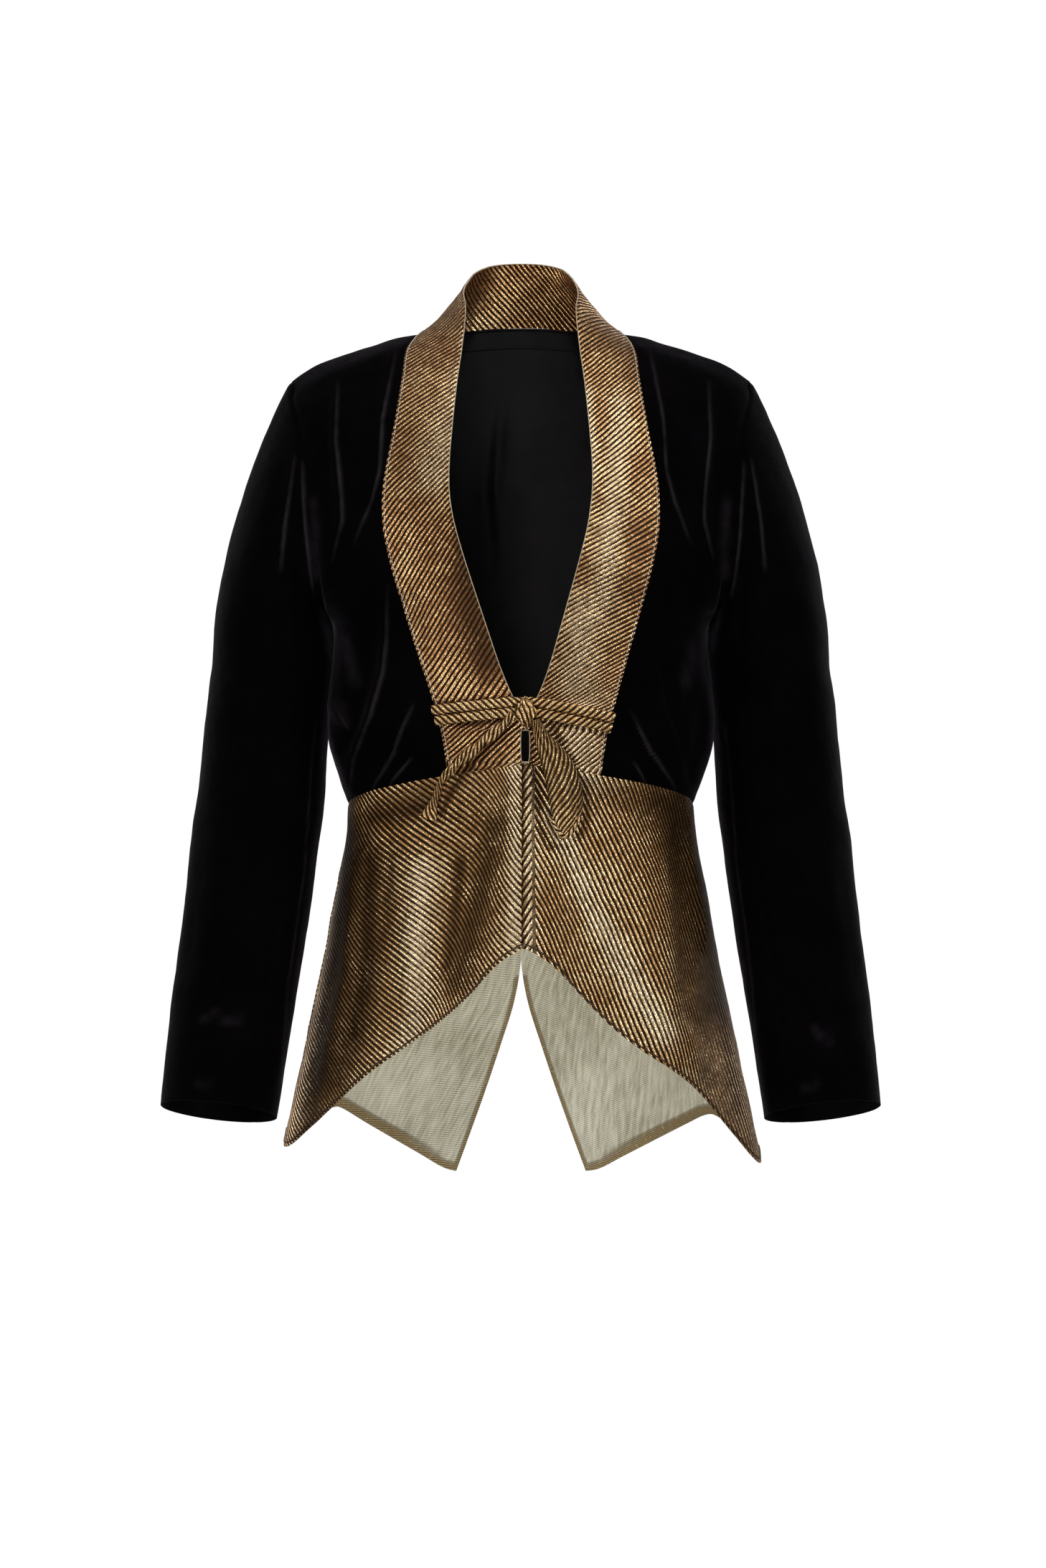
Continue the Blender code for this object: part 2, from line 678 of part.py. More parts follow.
def build_sleeve(side, hand):
    """Top and under sleeve: columns run from the armhole seam, over the cap and down to the cuff."""
    front, front_out = armhole(side, -1)
    back, back_out = armhole(side, 1)
    hole = np.concatenate([front[::-1], back[1:]])
    hole_out = np.concatenate([front_out[::-1], back_out[1:]])
    closed = hole[:-1]
    hole_out = hole_out[:-1]
    size = len(closed)
    lengths = np.linalg.norm(np.roll(closed, -1, axis=0) - closed, axis=1)
    half = size // 2
    turn = np.zeros(size)
    for first, last, start in ((0, half, 0.0), (half, size, 180.0)):
        part = lengths[first:last]
        turn[first:last] = start + 180 * np.concatenate([[0], np.cumsum(part)[:-1]]) / part.sum()
    even = np.arange(size) * 360 / size
    turn = (turn + even) / 2
    top_ring, top_out, run = sleeve_ring(side, 0, turn)
    a = np.radians(turn)[:, None]
    lean = (CAP_LEAN_TOP + CAP_LEAN_LOW) / 2 + (CAP_LEAN_TOP - CAP_LEAN_LOW) / 2 * np.cos(a)
    leave = np.concatenate([side * np.ones_like(a), CAP_FORWARD * np.sin(a), -lean], axis=1)
    leave /= np.linalg.norm(leave, axis=1, keepdims=True)
    start = closed + leave * SEAM_GAP
    reach = np.linalg.norm(top_ring - start, axis=1, keepdims=True)
    part = (CAP_START_TOP + CAP_START_LOW) / 2 + (CAP_START_TOP - CAP_START_LOW) / 2 * np.cos(a)
    near, far = start + leave * reach * part, top_ring - run * reach * CAP_END
    rings = [start]
    for t in CAP_STEPS:
        rings.append(
            start * (1 - t) ** 3 + near * 3 * t * (1 - t) ** 2 + far * 3 * t * t * (1 - t) + top_ring * t**3
        )
    outs = [None] * len(rings)
    for i in range(len(SLEEVE_T["height"])):
        ring, out, _ = sleeve_ring(side, i, turn)
        rings.append(ring)
        outs.append(out)
    outer = np.array(rings)
    down = np.gradient(outer, axis=0)
    round_it = np.roll(outer, -1, axis=1) - np.roll(outer, 1, axis=1)
    normal = np.cross(round_it, down) * side
    normal /= np.linalg.norm(normal, axis=-1, keepdims=True)
    steps = len(CAP_STEPS)
    if (normal[steps + 4] * outs[steps + 4]).sum() < 0:
        normal = -normal
    normal[0] = hole_out
    columns = np.arange(half - UNDER_FRONT, half + UNDER_BACK + 1)
    others = np.arange(half + UNDER_BACK, half - UNDER_FRONT + size + 1) % size
    for name, pick in (("under_sleeve_", columns), ("top_sleeve_", others)):
        cloth_panel(
            name + hand, outer[:, pick], normal[:, pick], VELVET, "velvet", ("first_column", "last_column")
        )


def chest(x, height, lift):
    """A point this far off the cloth at the front, at a place given from the centre front."""
    side = np.where(x < 0, -1, 1)
    out = np.zeros((len(x), 3))
    point = np.zeros((len(x), 3))
    for hand in (-1, 1):
        pick = side == hand
        if pick.any():
            point[pick], out[pick] = surface(hand, -1, angle_of(np.abs(x[pick]), height[pick]), height[pick])
    return point + out * np.asarray(lift)[:, None]


def ribbon(name, x, height, half, lift, thickness):
    """A flat strip of the tie along a line of places, square across it, lying off the front."""
    run = np.stack([np.gradient(x), np.gradient(height)], 1)
    run /= np.linalg.norm(run, axis=1, keepdims=True)
    across = np.stack([-run[:, 1], run[:, 0]], 1) * half[:, None]
    grid, back = [], []
    for share, crown in ((-1.0, RIBBON_EDGE), (0.0, 1.0), (1.0, RIBBON_EDGE)):
        px, pz = x + across[:, 0] * share, height + across[:, 1] * share
        grid.append(chest(px, pz, lift + thickness * crown))
        back.append(chest(px, pz, lift))
    return wall(name, np.array(grid), np.array(back), "gold")


def build_tie():
    straps = table(STRAPS)
    for i, name in enumerate(STRAP_NAMES):
        row = {key: values[i] for key, values in straps.items()}
        u = np.linspace(0, 1, STRAP_POINTS)
        x = row["side"] * (row["seam_x"] + (STRAP_END - row["seam_x"]) * u)
        height = row["seam"] + (row["knot"] - row["seam"]) * u ** STRAP_BEND
        ribbon(name, x, height, np.full(STRAP_POINTS, STRAP_HALF), np.full(STRAP_POINTS, LAYER_GAP), TIE_CLOTH)
    for name, text in (("tie_end_right", TIE_END_RIGHT), ("tie_loop_left", TIE_LOOP_LEFT)):
        rows = table(text)
        t = np.arange(len(rows["x"]), dtype=float)
        fine = np.linspace(0, len(t) - 1, 2 * len(t) - 1)
        x, height, half, lift = (smooth(fine, t, rows[key]) for key in ("x", "height", "half", "lift"))
        ribbon(name, x, height, half, lift + LAYER_GAP, TIE_CLOTH)
    build_knot()


def build_knot():
    """The knot: a small pinched ball just off the straps at the centre front."""
    shape = bmesh.new()
    bmesh.ops.create_uvsphere(shape, u_segments=14, v_segments=9, radius=1.0)
    wide, deep, tall = KNOT_HALF
    seat, _ = surface(1, -1, 0.0, KNOT_CENTRE_HEIGHT)
    back = seat[1] - 2 * LAYER_GAP - TIE_CLOTH
    for point in shape.verts:
        pinch = 1 + KNOT_PINCH * math.cos(3 * math.atan2(point.co.z, point.co.x))
        x, y, z = point.co
        point.co.x = (seat[0] + x * wide * pinch) * MM
        point.co.z = (KNOT_CENTRE_HEIGHT + z * tall * pinch) * MM
        point.co.y = (back - deep + y * deep) * MM
    mesh = bpy.data.meshes.new("tie_knot")
    shape.to_mesh(mesh)
    shape.free()
    finish("tie_knot", mesh, "gold")


for old in list(bpy.data.objects):
    bpy.data.objects.remove(old, do_unlink=True)
JACKET = bpy.data.collections.new("velvet_jacket")
bpy.context.scene.collection.children.link(JACKET)

build_front(-1, "front_right")
build_front(1, "front_left")
build_back()
build_lining()
build_tape()
build_band()
build_peplum()
build_sleeve(-1, "right")
build_sleeve(1, "left")
build_tie()
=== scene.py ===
# %% [markdown]
# A velvet evening jacket: black velvet, a standing band and a peplum of ribbed gold lame.
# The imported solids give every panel's place. Each panel is drawn again here as a thin, finely
# curved shell of cloth on its own solid, because the looks of cloth are in small creases, in the
# way an edge turns under and in what the light does on pile and on metal thread.

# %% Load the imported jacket
import math

import bmesh
import bpy
import numpy as np
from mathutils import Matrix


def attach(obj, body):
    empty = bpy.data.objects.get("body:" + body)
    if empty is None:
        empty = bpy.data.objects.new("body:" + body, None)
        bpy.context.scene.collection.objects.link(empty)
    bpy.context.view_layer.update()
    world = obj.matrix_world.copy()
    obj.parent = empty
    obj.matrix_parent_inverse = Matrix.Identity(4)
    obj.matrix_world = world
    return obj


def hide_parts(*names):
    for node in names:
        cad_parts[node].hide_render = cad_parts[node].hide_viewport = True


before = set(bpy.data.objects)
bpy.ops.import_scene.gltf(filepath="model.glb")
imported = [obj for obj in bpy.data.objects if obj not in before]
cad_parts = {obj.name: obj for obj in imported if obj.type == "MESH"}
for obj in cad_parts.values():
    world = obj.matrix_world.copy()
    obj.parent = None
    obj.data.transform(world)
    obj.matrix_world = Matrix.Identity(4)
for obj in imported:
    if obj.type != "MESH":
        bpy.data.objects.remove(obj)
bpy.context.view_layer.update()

MM = 0.001
print("panels in the frame:", len(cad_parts))

# %% [markdown]
# The camera stands 3.2 m away, level with the middle of the jacket, so that the panels keep the
# proportions they have in the picture. One pixel is 0.6 mm at the depth of the shoulder seam.

# %% Camera
EYE = np.array([1.8, -3200.0, -376.0])
PIXEL, MIDDLE, PICTURE_HEIGHT = 0.6, (729.0, 1093.0), 2186
SENSOR = 36.0
lens = bpy.data.cameras.new("camera")
lens.sensor_width = SENSOR
lens.lens = SENSOR * -EYE[1] / (PICTURE_HEIGHT * PIXEL)
camera = bpy.data.objects.new("camera", lens)
camera.location = EYE * MM
camera.rotation_euler = (math.pi / 2, 0, 0)
bpy.context.scene.collection.objects.link(camera)
bpy.context.scene.camera = camera
bpy.context.scene.view_settings.view_transform = "Standard"


def seen(point):
    """Where points lie in the picture: across and down, in its pixels.

    A length shrinks with its distance from the eye, which is 3200 mm at depth 0.
    """
    scale = PIXEL * (1 + point[..., 1] / -EYE[1])
    across = MIDDLE[0] + (point[..., 0] - EYE[0]) / scale
    return across, MIDDLE[1] - (point[..., 2] - EYE[2]) / scale


print("focal length", round(lens.lens, 1), "mm")

# %% [markdown]
# Velvet shows only where light grazes it, so soft lamps stand at both sides, above and behind, and
# two in front give the metal thread its gleam. The room is white to the eye but dim as a light, so
# that the ribs keep their dark valleys. There is no floor: the jacket is seen cut out on white.

# %% Lamps and room
LAMPS = (
    ("lamp_left", (-2.5, -1.3, 0.5), 1.2, 17.0),
    ("lamp_right", (2.3, -1.9, 0.8), 1.1, 26.0),
    ("lamp_front", (-0.7, -3.0, 0.9), 0.7, 15.0),
    ("lamp_above", (0.2, -0.4, 2.3), 1.2, 16.0),
    ("lamp_low", (0.1, -2.3, -1.9), 0.9, 15.0),
    ("lamp_behind_left", (-2.3, 1.9, 0.6), 1.4, 22.0),
    ("lamp_behind_right", (2.3, 1.9, 0.6), 1.4, 22.0),
)
AIM = np.array([0, 0, -0.35])
for name, place, width, power in LAMPS:
    light = bpy.data.lights.new(name, "AREA")
    light.size, light.energy = width, power
    lamp = bpy.data.objects.new(name, light)
    lamp.location = place
    away = np.array(place) - AIM
    lamp.rotation_euler = (
        math.atan2(math.hypot(away[0], away[1]), away[2]), 0, math.atan2(away[0], -away[1])
    )
    bpy.context.scene.collection.objects.link(lamp)

ROOM_LIGHT = 0.2
world = bpy.data.worlds.new("room")
bpy.context.scene.world = world
world.use_nodes = True
nodes, links = world.node_tree.nodes, world.node_tree.links
nodes["Background"].inputs["Color"].default_value = (1, 1, 1, 1)
seen_directly = nodes.new("ShaderNodeLightPath").outputs["Is Camera Ray"]
room = nodes.new("ShaderNodeMath")
room.operation = "MAXIMUM"
room.inputs[1].default_value = ROOM_LIGHT
links.new(seen_directly, room.inputs[0])
links.new(room.outputs[0], nodes["Background"].inputs["Strength"])
print("lamps:", len(LAMPS))

# %% [markdown]
# A shader is a sum of small steps. The class below lets those steps be written as ordinary
# Python: a Value stands for one number in the shader, and a sign between two of them adds the
# Math node. Finish.add makes any other node.


# %% Writing shaders as expressions
class Value:
    """One number of a shader. Python's signs add the Math nodes."""

    def __init__(self, finish, socket):
        self.finish, self.socket = finish, socket

    def maths(self, operation, *others):
        sockets = dict(enumerate((self,) + others))
        return self.finish.add("ShaderNodeMath", {"operation": operation}, sockets)

    def __add__(self, other):
        return self.maths("ADD", other)

    def __sub__(self, other):
        return self.maths("SUBTRACT", other)

    def __mul__(self, other):
        return self.maths("MULTIPLY", other)

    def __rsub__(self, other):
        return self * -1 + other

    __radd__, __rmul__ = __add__, __mul__

    def clamped(self):
        return self.maths("MAXIMUM", 0.0).maths("MINIMUM", 1.0)

    def step(self, low, high):
        """0 below low, 1 above high, and a straight ramp between."""
        return ((self - low) * (1 / (high - low))).clamped()

    def wave(self):
        """A sine from 0 to 1."""
        return self.maths("SINE") * 0.5 + 0.5

    def hump(self):
        """A rounded hump between whole numbers: one minus the square of the distance from the
        middle between them."""
        from_middle = (self.maths("FRACT") - 0.5) * 2
        return 1 - from_middle * from_middle


class Finish:
    """A material under way, with its Principled shader."""

    def __init__(self, name):
        self.material = bpy.data.materials.new(name)
        self.material.use_nodes = True
        self.tree = self.material.node_tree
        self.shader = self.tree.nodes["Principled BSDF"]

    def put(self, socket, value):
        if isinstance(value, Value):
            self.tree.links.new(value.socket, socket)
        else:
            socket.default_value = value

    def add(self, kind, settings=None, sockets=None, out=0):
        node = self.tree.nodes.new(kind)
        for key, value in (settings or {}).items():
            setattr(node, key, value)
        for key, value in (sockets or {}).items():
            self.put(node.inputs[key], value)
        return Value(self, node.outputs[out])

    def set(self, **values):
        for key, value in values.items():
            self.put(self.shader.inputs[key.replace("_", " ")], value)
        return self

    def noise(self, scale, detail=2.0, where=None):
        place = where or self.add("ShaderNodeTexCoord", out="Object")
        sockets = {"Vector": place, "Scale": scale, "Detail": detail}
        return self.add("ShaderNodeTexNoise", None, sockets)

    def blend(self, share, low, high):
        """A colour from low to high by the share."""
        sockets = {0: share, 6: low, 7: high}
        return self.add("ShaderNodeMix", {"data_type": "RGBA"}, sockets, 2)

    def bump(self, height, distance, strength=1.0):
        sockets = {"Height": height, "Distance": distance, "Strength": strength}
        return self.add("ShaderNodeBump", None, sockets)

    def attribute(self, name):
        return self.add("ShaderNodeAttribute", {"attribute_name": name}, None, "Fac")

    def flat_place(self):
        """The place on the flat cloth: across its ribs or threads, and along them."""
        place = self.add("ShaderNodeUVMap", {"uv_map": "cloth"})
        return [self.add("ShaderNodeSeparateXYZ", None, {0: place}, out) for out in (0, 1)]


def colour(red, green, blue):
    return (red, green, blue, 1.0)


print("shader writer ready")

# %% [markdown]
# Velvet is a short pile standing on a ground cloth. Seen square on it swallows light, and at a
# grazing angle the sides of the pile catch it, which is what the sheen of the shader gives. The
# pile also leans here a little and there a little, so its black is cloudy.


# %% Velvet
def velvet():
    """Black velvet: fine pile as grain, and a cloudy nap that follows no thread. A mark lightens its
    colour on the crests of creases, along the sleeve seams and in a few patches: painted sheen, where
    flattened pile would catch the light."""
    cloth = Finish("black_velvet")
    pile = cloth.noise(1500.0, 1.0)
    nap = cloth.noise(22.0, 3.0)
    brushed = cloth.noise(90.0, 2.0)
    cloud = (nap * 0.7 + brushed * 0.3).step(0.38, 0.66)
    share = cloud * 0.7 + pile * 0.3
    black = cloth.blend(share, colour(0.0006, 0.0004, 0.0006), colour(0.0021, 0.0015, 0.0021))
    # Painted sheen: the colour rises to a soft grey where the mark says, broken up by the nap.
    crest = cloth.attribute("painted_sheen") * (brushed * 1.1 + nap * 1.0 - 0.35).clamped()
    cloth.set(
        Base_Color=cloth.blend(crest, black, colour(0.034, 0.029, 0.033)),
        Roughness=0.72 + pile * 0.25,
        Normal=cloth.bump(pile * 0.6 + brushed, 0.0009, 0.5),
        Specular_IOR_Level=0.02,
        Sheen_Weight=0.14,
        Sheen_Roughness=0.26,
        Sheen_Tint=colour(0.66, 0.58, 0.68),
    )
    return cloth.material


def satin():
    """Black satin: smooth, with floats of thread across it and soft broad gleams painted into its
    colour.
    """
    cloth = Finish("black_satin")
    _, down = cloth.flat_place()
    drift = cloth.noise(14.0, 3.0)
    dark, gleam = colour(0.0008, 0.0004, 0.0006), colour(0.011, 0.0075, 0.0092)
    cloth.set(
        Base_Color=cloth.blend(drift.step(0.44, 0.72), dark, gleam),
        Roughness=0.34 + drift * 0.2,
        Normal=cloth.bump((down * 9000.0).wave() * 0.3 + drift * 2.0, 0.0004, 0.5),
        Specular_IOR_Level=0.16,
        Sheen_Weight=0.02,
        Sheen_Roughness=0.4,
    )
    return cloth.material


VELVET_PILE, BLACK_SATIN = velvet(), satin()
print("velvet and satin made")

# %% [markdown]
# Lame is woven with flat metal thread. This one has cords under the thread, so that it is ribbed
# like a fine washboard, and the ribs run on the bias of every panel. The panels carry their own
# map, whose first direction crosses the ribs, and the finish below only has to count along it.

# %% Ribbed lame
RIB = 4.55 * MM
BRONZE, GOLD = colour(0.42, 0.187, 0.07), colour(0.45, 0.225, 0.078)
# Colours of painted highlights: the lit zones and the glints on the rib crests take them.
WARM_HIGHLIGHT, PALE_HIGHLIGHT = colour(1.0, 0.66, 0.31), colour(1.0, 0.71, 0.38)
SILVERY_HIGHLIGHT = colour(1.0, 0.8, 0.57)


def lame(name, deep, mid, bright, rib):
    """Ribbed gold cloth.

    Each rib is a rounded hump, and its line wavers slowly. Flat metal threads cross every rib, and where
    one of them lies open it flashes; these glints are painted highlights in the colour, small pale beads
    along the crests. The valleys between the ribs take the deep colour, near black: painted shade. Two
    marks paint light over whole zones: one lifts the colour and the glints where light falls, the other
    is painted shade that darkens the cloth and flattens its ribs in troughs, beside the tie and along
    the front opening.
    """
    cloth = Finish(name)
    apart, along = cloth.flat_place()
    painted_highlight_zone, painted_shade_zone = cloth.attribute("bright"), cloth.attribute("painted_shade")
    waver = cloth.noise(24.0, 2.0)
    hump = (apart * (1 / rib) + waver * 0.8).hump()
    beads = (along * 4300.0 + waver * 30.0).wave()
    fleck = cloth.noise(900.0, 1.0)
    cloud = cloth.noise(30.0, 3.0)
    wrinkle = cloth.noise(150.0, 2.0)
    # Painted shade: between the crests the colour falls to the deep one.
    crest = (hump + (wrinkle - 0.5) * 0.35).step(0.3, 0.95)
    crest = crest * (1 - painted_shade_zone * 0.45) + painted_shade_zone * 0.12
    # Painted light over whole zones: lit zones lift the mid colour, shaded ones sink it.
    painted_lit_mid = cloth.blend(painted_highlight_zone * 0.24, mid, bright)
    ground = cloth.blend(crest, deep, cloth.blend(painted_shade_zone * 0.6, painted_lit_mid, deep))
    # Painted highlights: the glints, whitest in the lit zones.
    flash = hump * 0.55 + fleck * 0.95 + beads * 0.1 + cloud * 0.5 + wrinkle * 0.3
    glint = (flash + painted_highlight_zone * 0.24 - painted_shade_zone * 0.2).step(1.41, 1.52)
    cloth.set(
        Base_Color=cloth.blend(glint, ground, cloth.blend(painted_highlight_zone * 0.4, bright, SILVERY_HIGHLIGHT)),
        Metallic=0.35 + hump * 0.6,
        Roughness=0.46 - hump * 0.14 - glint * 0.12,
        Normal=cloth.bump(hump + beads * 0.05 + wrinkle * 0.4 + fleck * 0.22, 0.0014, 1.0),
        Specular_IOR_Level=0.2,
    )
    return cloth.material


LAME_BAND = lame("lame_band", colour(0.01, 0.005, 0.003), BRONZE, WARM_HIGHLIGHT, RIB * 0.8)
LAME_PEPLUM = lame("lame_peplum", colour(0.008, 0.0045, 0.002), GOLD, PALE_HIGHLIGHT, RIB * 0.95)
# The tie's copy is lighter in its mid colour and darker in its valleys than the band's: painted light on
# the raised rouleaux and painted shade between them.
LAME_TIE = lame(
    "lame_tie", colour(0.002, 0.001, 0.0005), colour(0.66, 0.37, 0.14), PALE_HIGHLIGHT, RIB * 0.95
)
print("lame made, rib", RIB, "m")

# %% [markdown]
# The wrong side of the lame is dull and pale, a grey green, because there the cords' own cotton
# shows between the threads. It is what the eye meets inside the peplum, through the back vent.


# %% The wrong side and the thread
def wrong_side():
    """Fine pale grey green ribs with soft streaks down the cloth, brown on the turned hem.

    The weave is open, so a little of the light behind it comes through, which the weak emission
    stands for.
    """
    cloth = Finish("lame_wrong_side")
    apart, along = cloth.flat_place()
    waver = cloth.noise(30.0, 2.0)
    hump = (apart * (1 / (RIB * 0.43)) + waver * 0.8).hump()
    stretched = cloth.add("ShaderNodeCombineXYZ", None, {0: along * 9.0, 1: apart})
    streak = cloth.noise(38.0, 3.0, stretched)
    fleck = cloth.noise(800.0, 1.0)
    cloud = cloth.noise(16.0, 2.0)
    share = hump * 0.6 + (streak - 0.5) * 1.5 + (cloud - 0.5) * 0.9 + 0.15
    pale = cloth.blend(share.clamped(), colour(0.36, 0.32, 0.2), colour(1.0, 0.97, 0.8))
    # Gold flecks: partly the metal thread seen from the wrong side, partly painted glints.
    gold_thread_glint = (fleck + streak * 0.3).step(0.82, 0.88)
    woven = cloth.blend(gold_thread_glint, pale, colour(1.0, 0.84, 0.5))
    share = (hump * 0.5 + gold_thread_glint * 0.7).clamped()
    brown = cloth.blend(share, colour(0.07, 0.045, 0.018), colour(0.85, 0.64, 0.33))
    hem = cloth.attribute("turned")
    # Painted shade: a dark line along the edges of the turned hem and vent.
    fold = (1 - (hem * 2 - 1).maths("ABSOLUTE")) * 0.5
    shade = cloth.blend(hem, woven, brown)
    cloth.set(
        Base_Color=cloth.blend(fold, shade, colour(0.03, 0.02, 0.01)),
        Metallic=hem * 0.3 + 0.02,
        Roughness=0.6,
        Emission_Color=shade,
        Emission_Strength=0.14,
        Normal=cloth.bump(hump * 0.8 + cloud * 0.6 + streak * 0.5, 0.0006, 0.8),
    )
    return cloth.material


def thread(name, shade, metal):
    """A plain twisted thread or cord: one colour, with a fine grain."""
    cloth = Finish(name)
    grain = cloth.noise(900.0, 2.0)
    cloth.set(
        Base_Color=cloth.blend(grain, colour(*(0.7 * part for part in shade[:3])), shade),
        Metallic=metal,
        Roughness=0.42 + grain * 0.2,
        Normal=cloth.bump(grain, 0.0003, 0.6),
    )
    return cloth.material


WRONG_SIDE = wrong_side()
PALE_CORD = thread("pale_cord", colour(0.72, 0.6, 0.42), 0.35)
STITCH = thread("stitch_thread", colour(0.95, 0.9, 0.78), 0.2)
# The hem's fold is a near-black rod: painted shade along the fold.
HEM_FOLD_SHADE = thread("hem_fold_shade", colour(0.07, 0.04, 0.02), 0.4)
print("wrong side and threads made")

# %% [markdown]
# The jacket's form: half its width and its depth before and behind the shoulder line at each
# height, and the lines of its seams. They are the same numbers, in millimetres and degrees, that
# the solids were made from, so that each shell lies on its own solid.

# %% The form
VELVET_WALL, SEAM_GAP, LAYER_GAP = 1.8, 0.4, 0.5
ROUNDNESS, RIDGE_ROUND, RIDGE_STEP, RIDGE_LEAN = 0.85, 70.0, (8.0, -8.0), 1.2
SWAY, SWAY_TOP, SWAY_RUN = 3.6, -150.0, 150.0
FOLD_SIDE_FADE, FOLD_CENTRE_FADE = 15.0, 6.0
WAIST_FRONT, WAIST_SIDE, WAIST_BACK = -360.0, -394.0, -384.0
SIDES = ((-1, "right"), (1, "left"))


def table(text):
    """The rows of a table under its named columns, as one array for each column."""
    lines = [line.split() for line in text.strip().splitlines()]
    values = np.array(lines[1:], dtype=float)
    return {name: values[:, i] for i, name in enumerate(lines[0])}


def rows_of(columns):
    """The same table row by row, each row as its named numbers."""
    return [dict(zip(columns, values)) for values in zip(*columns.values())]


FORM = table("""
height  width  front  back
60      207    30     50
12      207    42     60
-14     207    54     68
-42     207    70     79
-68     207    85     86
-104    207    103    95
-148    204    118    101
-170    199    122    102
-192    190    125    102
-214    178    127    101
-232    166    127    100
-247    155    127    99
-262    155    127    98
-290    158    126    97
-320    161    125    96
-342    160    121    94
-356    157    117    92
-372    152    112    88
-384    147    108    84
-396    144    105    82
-412    145    106    86
-436    149    109    92
-476    157    115    101
-520    165    121    110
-572    176    128    118
-620    186    134    124
-660    195    138    128
-700    203    142    133
-740    210    146    137
""")
RIDGE = table("""
across  height
0       64
44      52
62      34
75      17
85      1
96      0
116     -6
136     -12
154     -18
168     -23
180     -30
192     -39
207     -56
""")
ARMHOLE = table("""
height  angle
-39     68
-58     66.5
-80     62.5
-104    60
-126    59
-148    59
-170    60
-192    62
-214    68
-232    77
-247    90
""")
print("waist", 2 * FORM["width"].min(), "mm across; shoulders", 2 * FORM["width"].max())

# %% [markdown]
# A section of the jacket is a soft oval. A point on it is named by its angle round the body, 0 at
# the centre and 90 at the side, and by its height. Near the shoulder the section closes over the
# shoulder seam like a quarter of a wheel.


# %% From angle and height to a point
def unit(vectors):
    """The same directions with length 1."""
    return vectors / np.maximum(np.linalg.norm(vectors, axis=-1, keepdims=True), 1e-9)


def bell(x):
    """A bell curve: 1 at 0, and quickly less on both sides."""
    return np.exp(-(x**2))


def lifted(points, out, height):
    """Points moved along their directions, each by its own height."""
    return points + out * np.asarray(height)[..., None]


def smooth(x, places, values):
    """A smooth curve through the values at the places, with no swing past its neighbours."""
    if places[0] > places[-1]:
        places, values = places[::-1], values[::-1]
    step = np.diff(places)
    slope = np.diff(values) / step
    joined = np.zeros(len(places))
    same = slope[1:] * slope[:-1] > 0
    total = np.where(same, slope[1:] + slope[:-1], 1.0)
    joined[1:-1] = np.where(same, 2 * slope[1:] * slope[:-1] / total, 0.0)
    joined[0], joined[-1] = slope[0], slope[-1]
    x = np.clip(np.asarray(x, dtype=float), places[0], places[-1])
    i = np.clip(np.searchsorted(places, x, side="right") - 1, 0, len(step) - 1)
    t = (x - places[i]) / step[i]
    return (
        values[i] * (1 + 2 * t) * (1 - t) ** 2
        + values[i + 1] * t * t * (3 - 2 * t)
        + step[i] * t * (1 - t) * (joined[i] * (1 - t) - joined[i + 1] * t)
    )


def half_width(height):
    return smooth(height, FORM["height"], FORM["width"])


def depth(face, height):
    return smooth(height, FORM["height"], FORM["front" if face < 0 else "back"])


def angle_of(x, height):
    """The angle round the form, from its centre to its side, of a place this far across."""
    return np.degrees(np.arcsin(np.clip(x / half_width(height), 0, 1)))


def fade(t):
    """From 0 to 1 and back to 0 along a fold, with soft ends."""
    t = np.clip(t, 0, 1)
    return np.sin(np.pi * t) ** 0.8


FOLDS = rows_of(table("""
side  face  top_angle  top   low_angle  low   spread  depth
-1    -1    52         -50   54         -205  4.5     -4.0
1     -1    52         -50   54         -205  4.5     -4.0
-1    -1    38         -30   44         -170  4.5     -2.5
1     -1    37         -25   42         -150  4.5     -2.0
-1    -1    50         -215  66         -386  7.0     -3.5
1     -1    56         -240  70         -386  7.0     -3.5
-1    -1    34         -290  44         -386  6.5     -2.5
1     -1    40         -280  50         -386  6.5     -2.5
-1    1     44         -60   50         -250  7.0     -3.0
1     1     44         -60   50         -250  7.0     -3.0
-1    1     22         -240  30         -380  8.0     -2.5
1     1     26         -250  36         -380  8.0     -2.5
-1    -1    12         -390  18         -640  9.0     -4.5
-1    -1    33         -400  36         -660  9.0     5.0
-1    -1    60         -400  60         -700  9.0     -4.0
1     -1    20         -390  24         -640  9.0     -4.0
1     -1    42         -400  44         -660  9.0     4.5
1     -1    66         -400  62         -700  9.0     -4.0
-1    1     30         -400  34         -760  10.0    5.0
1     1     34         -400  30         -760  10.0    5.0
-1    1     58         -400  58         -760  10.0    -5.0
1     1     60         -400  58         -760  10.0    -5.0
"""))


def folded_by(folds, angle, height):
    """How far these folds move the cloth: for each a bell curve across its line, which drifts
    from one angle to another on its way down and fades at both ends."""
    moved = np.zeros(np.broadcast(angle, height).shape)
    for row in folds:
        along = (height - row["top"]) / (row["low"] - row["top"])
        line = row["top_angle"] + (row["low_angle"] - row["top_angle"]) * np.clip(along, 0, 1)
        moved += row["depth"] * fade(along) * bell((angle - line) / row["spread"])
    return moved


def drape(side, face, angle, height):
    """How far the folds move the cloth off the form."""
    folds = [row for row in FOLDS if row["side"] == side and row["face"] == face]
    edge = np.clip((90 - angle) / FOLD_SIDE_FADE, 0, 1) * np.clip(angle / FOLD_CENTRE_FADE, 0, 1)
    return folded_by(folds, angle, height) * edge


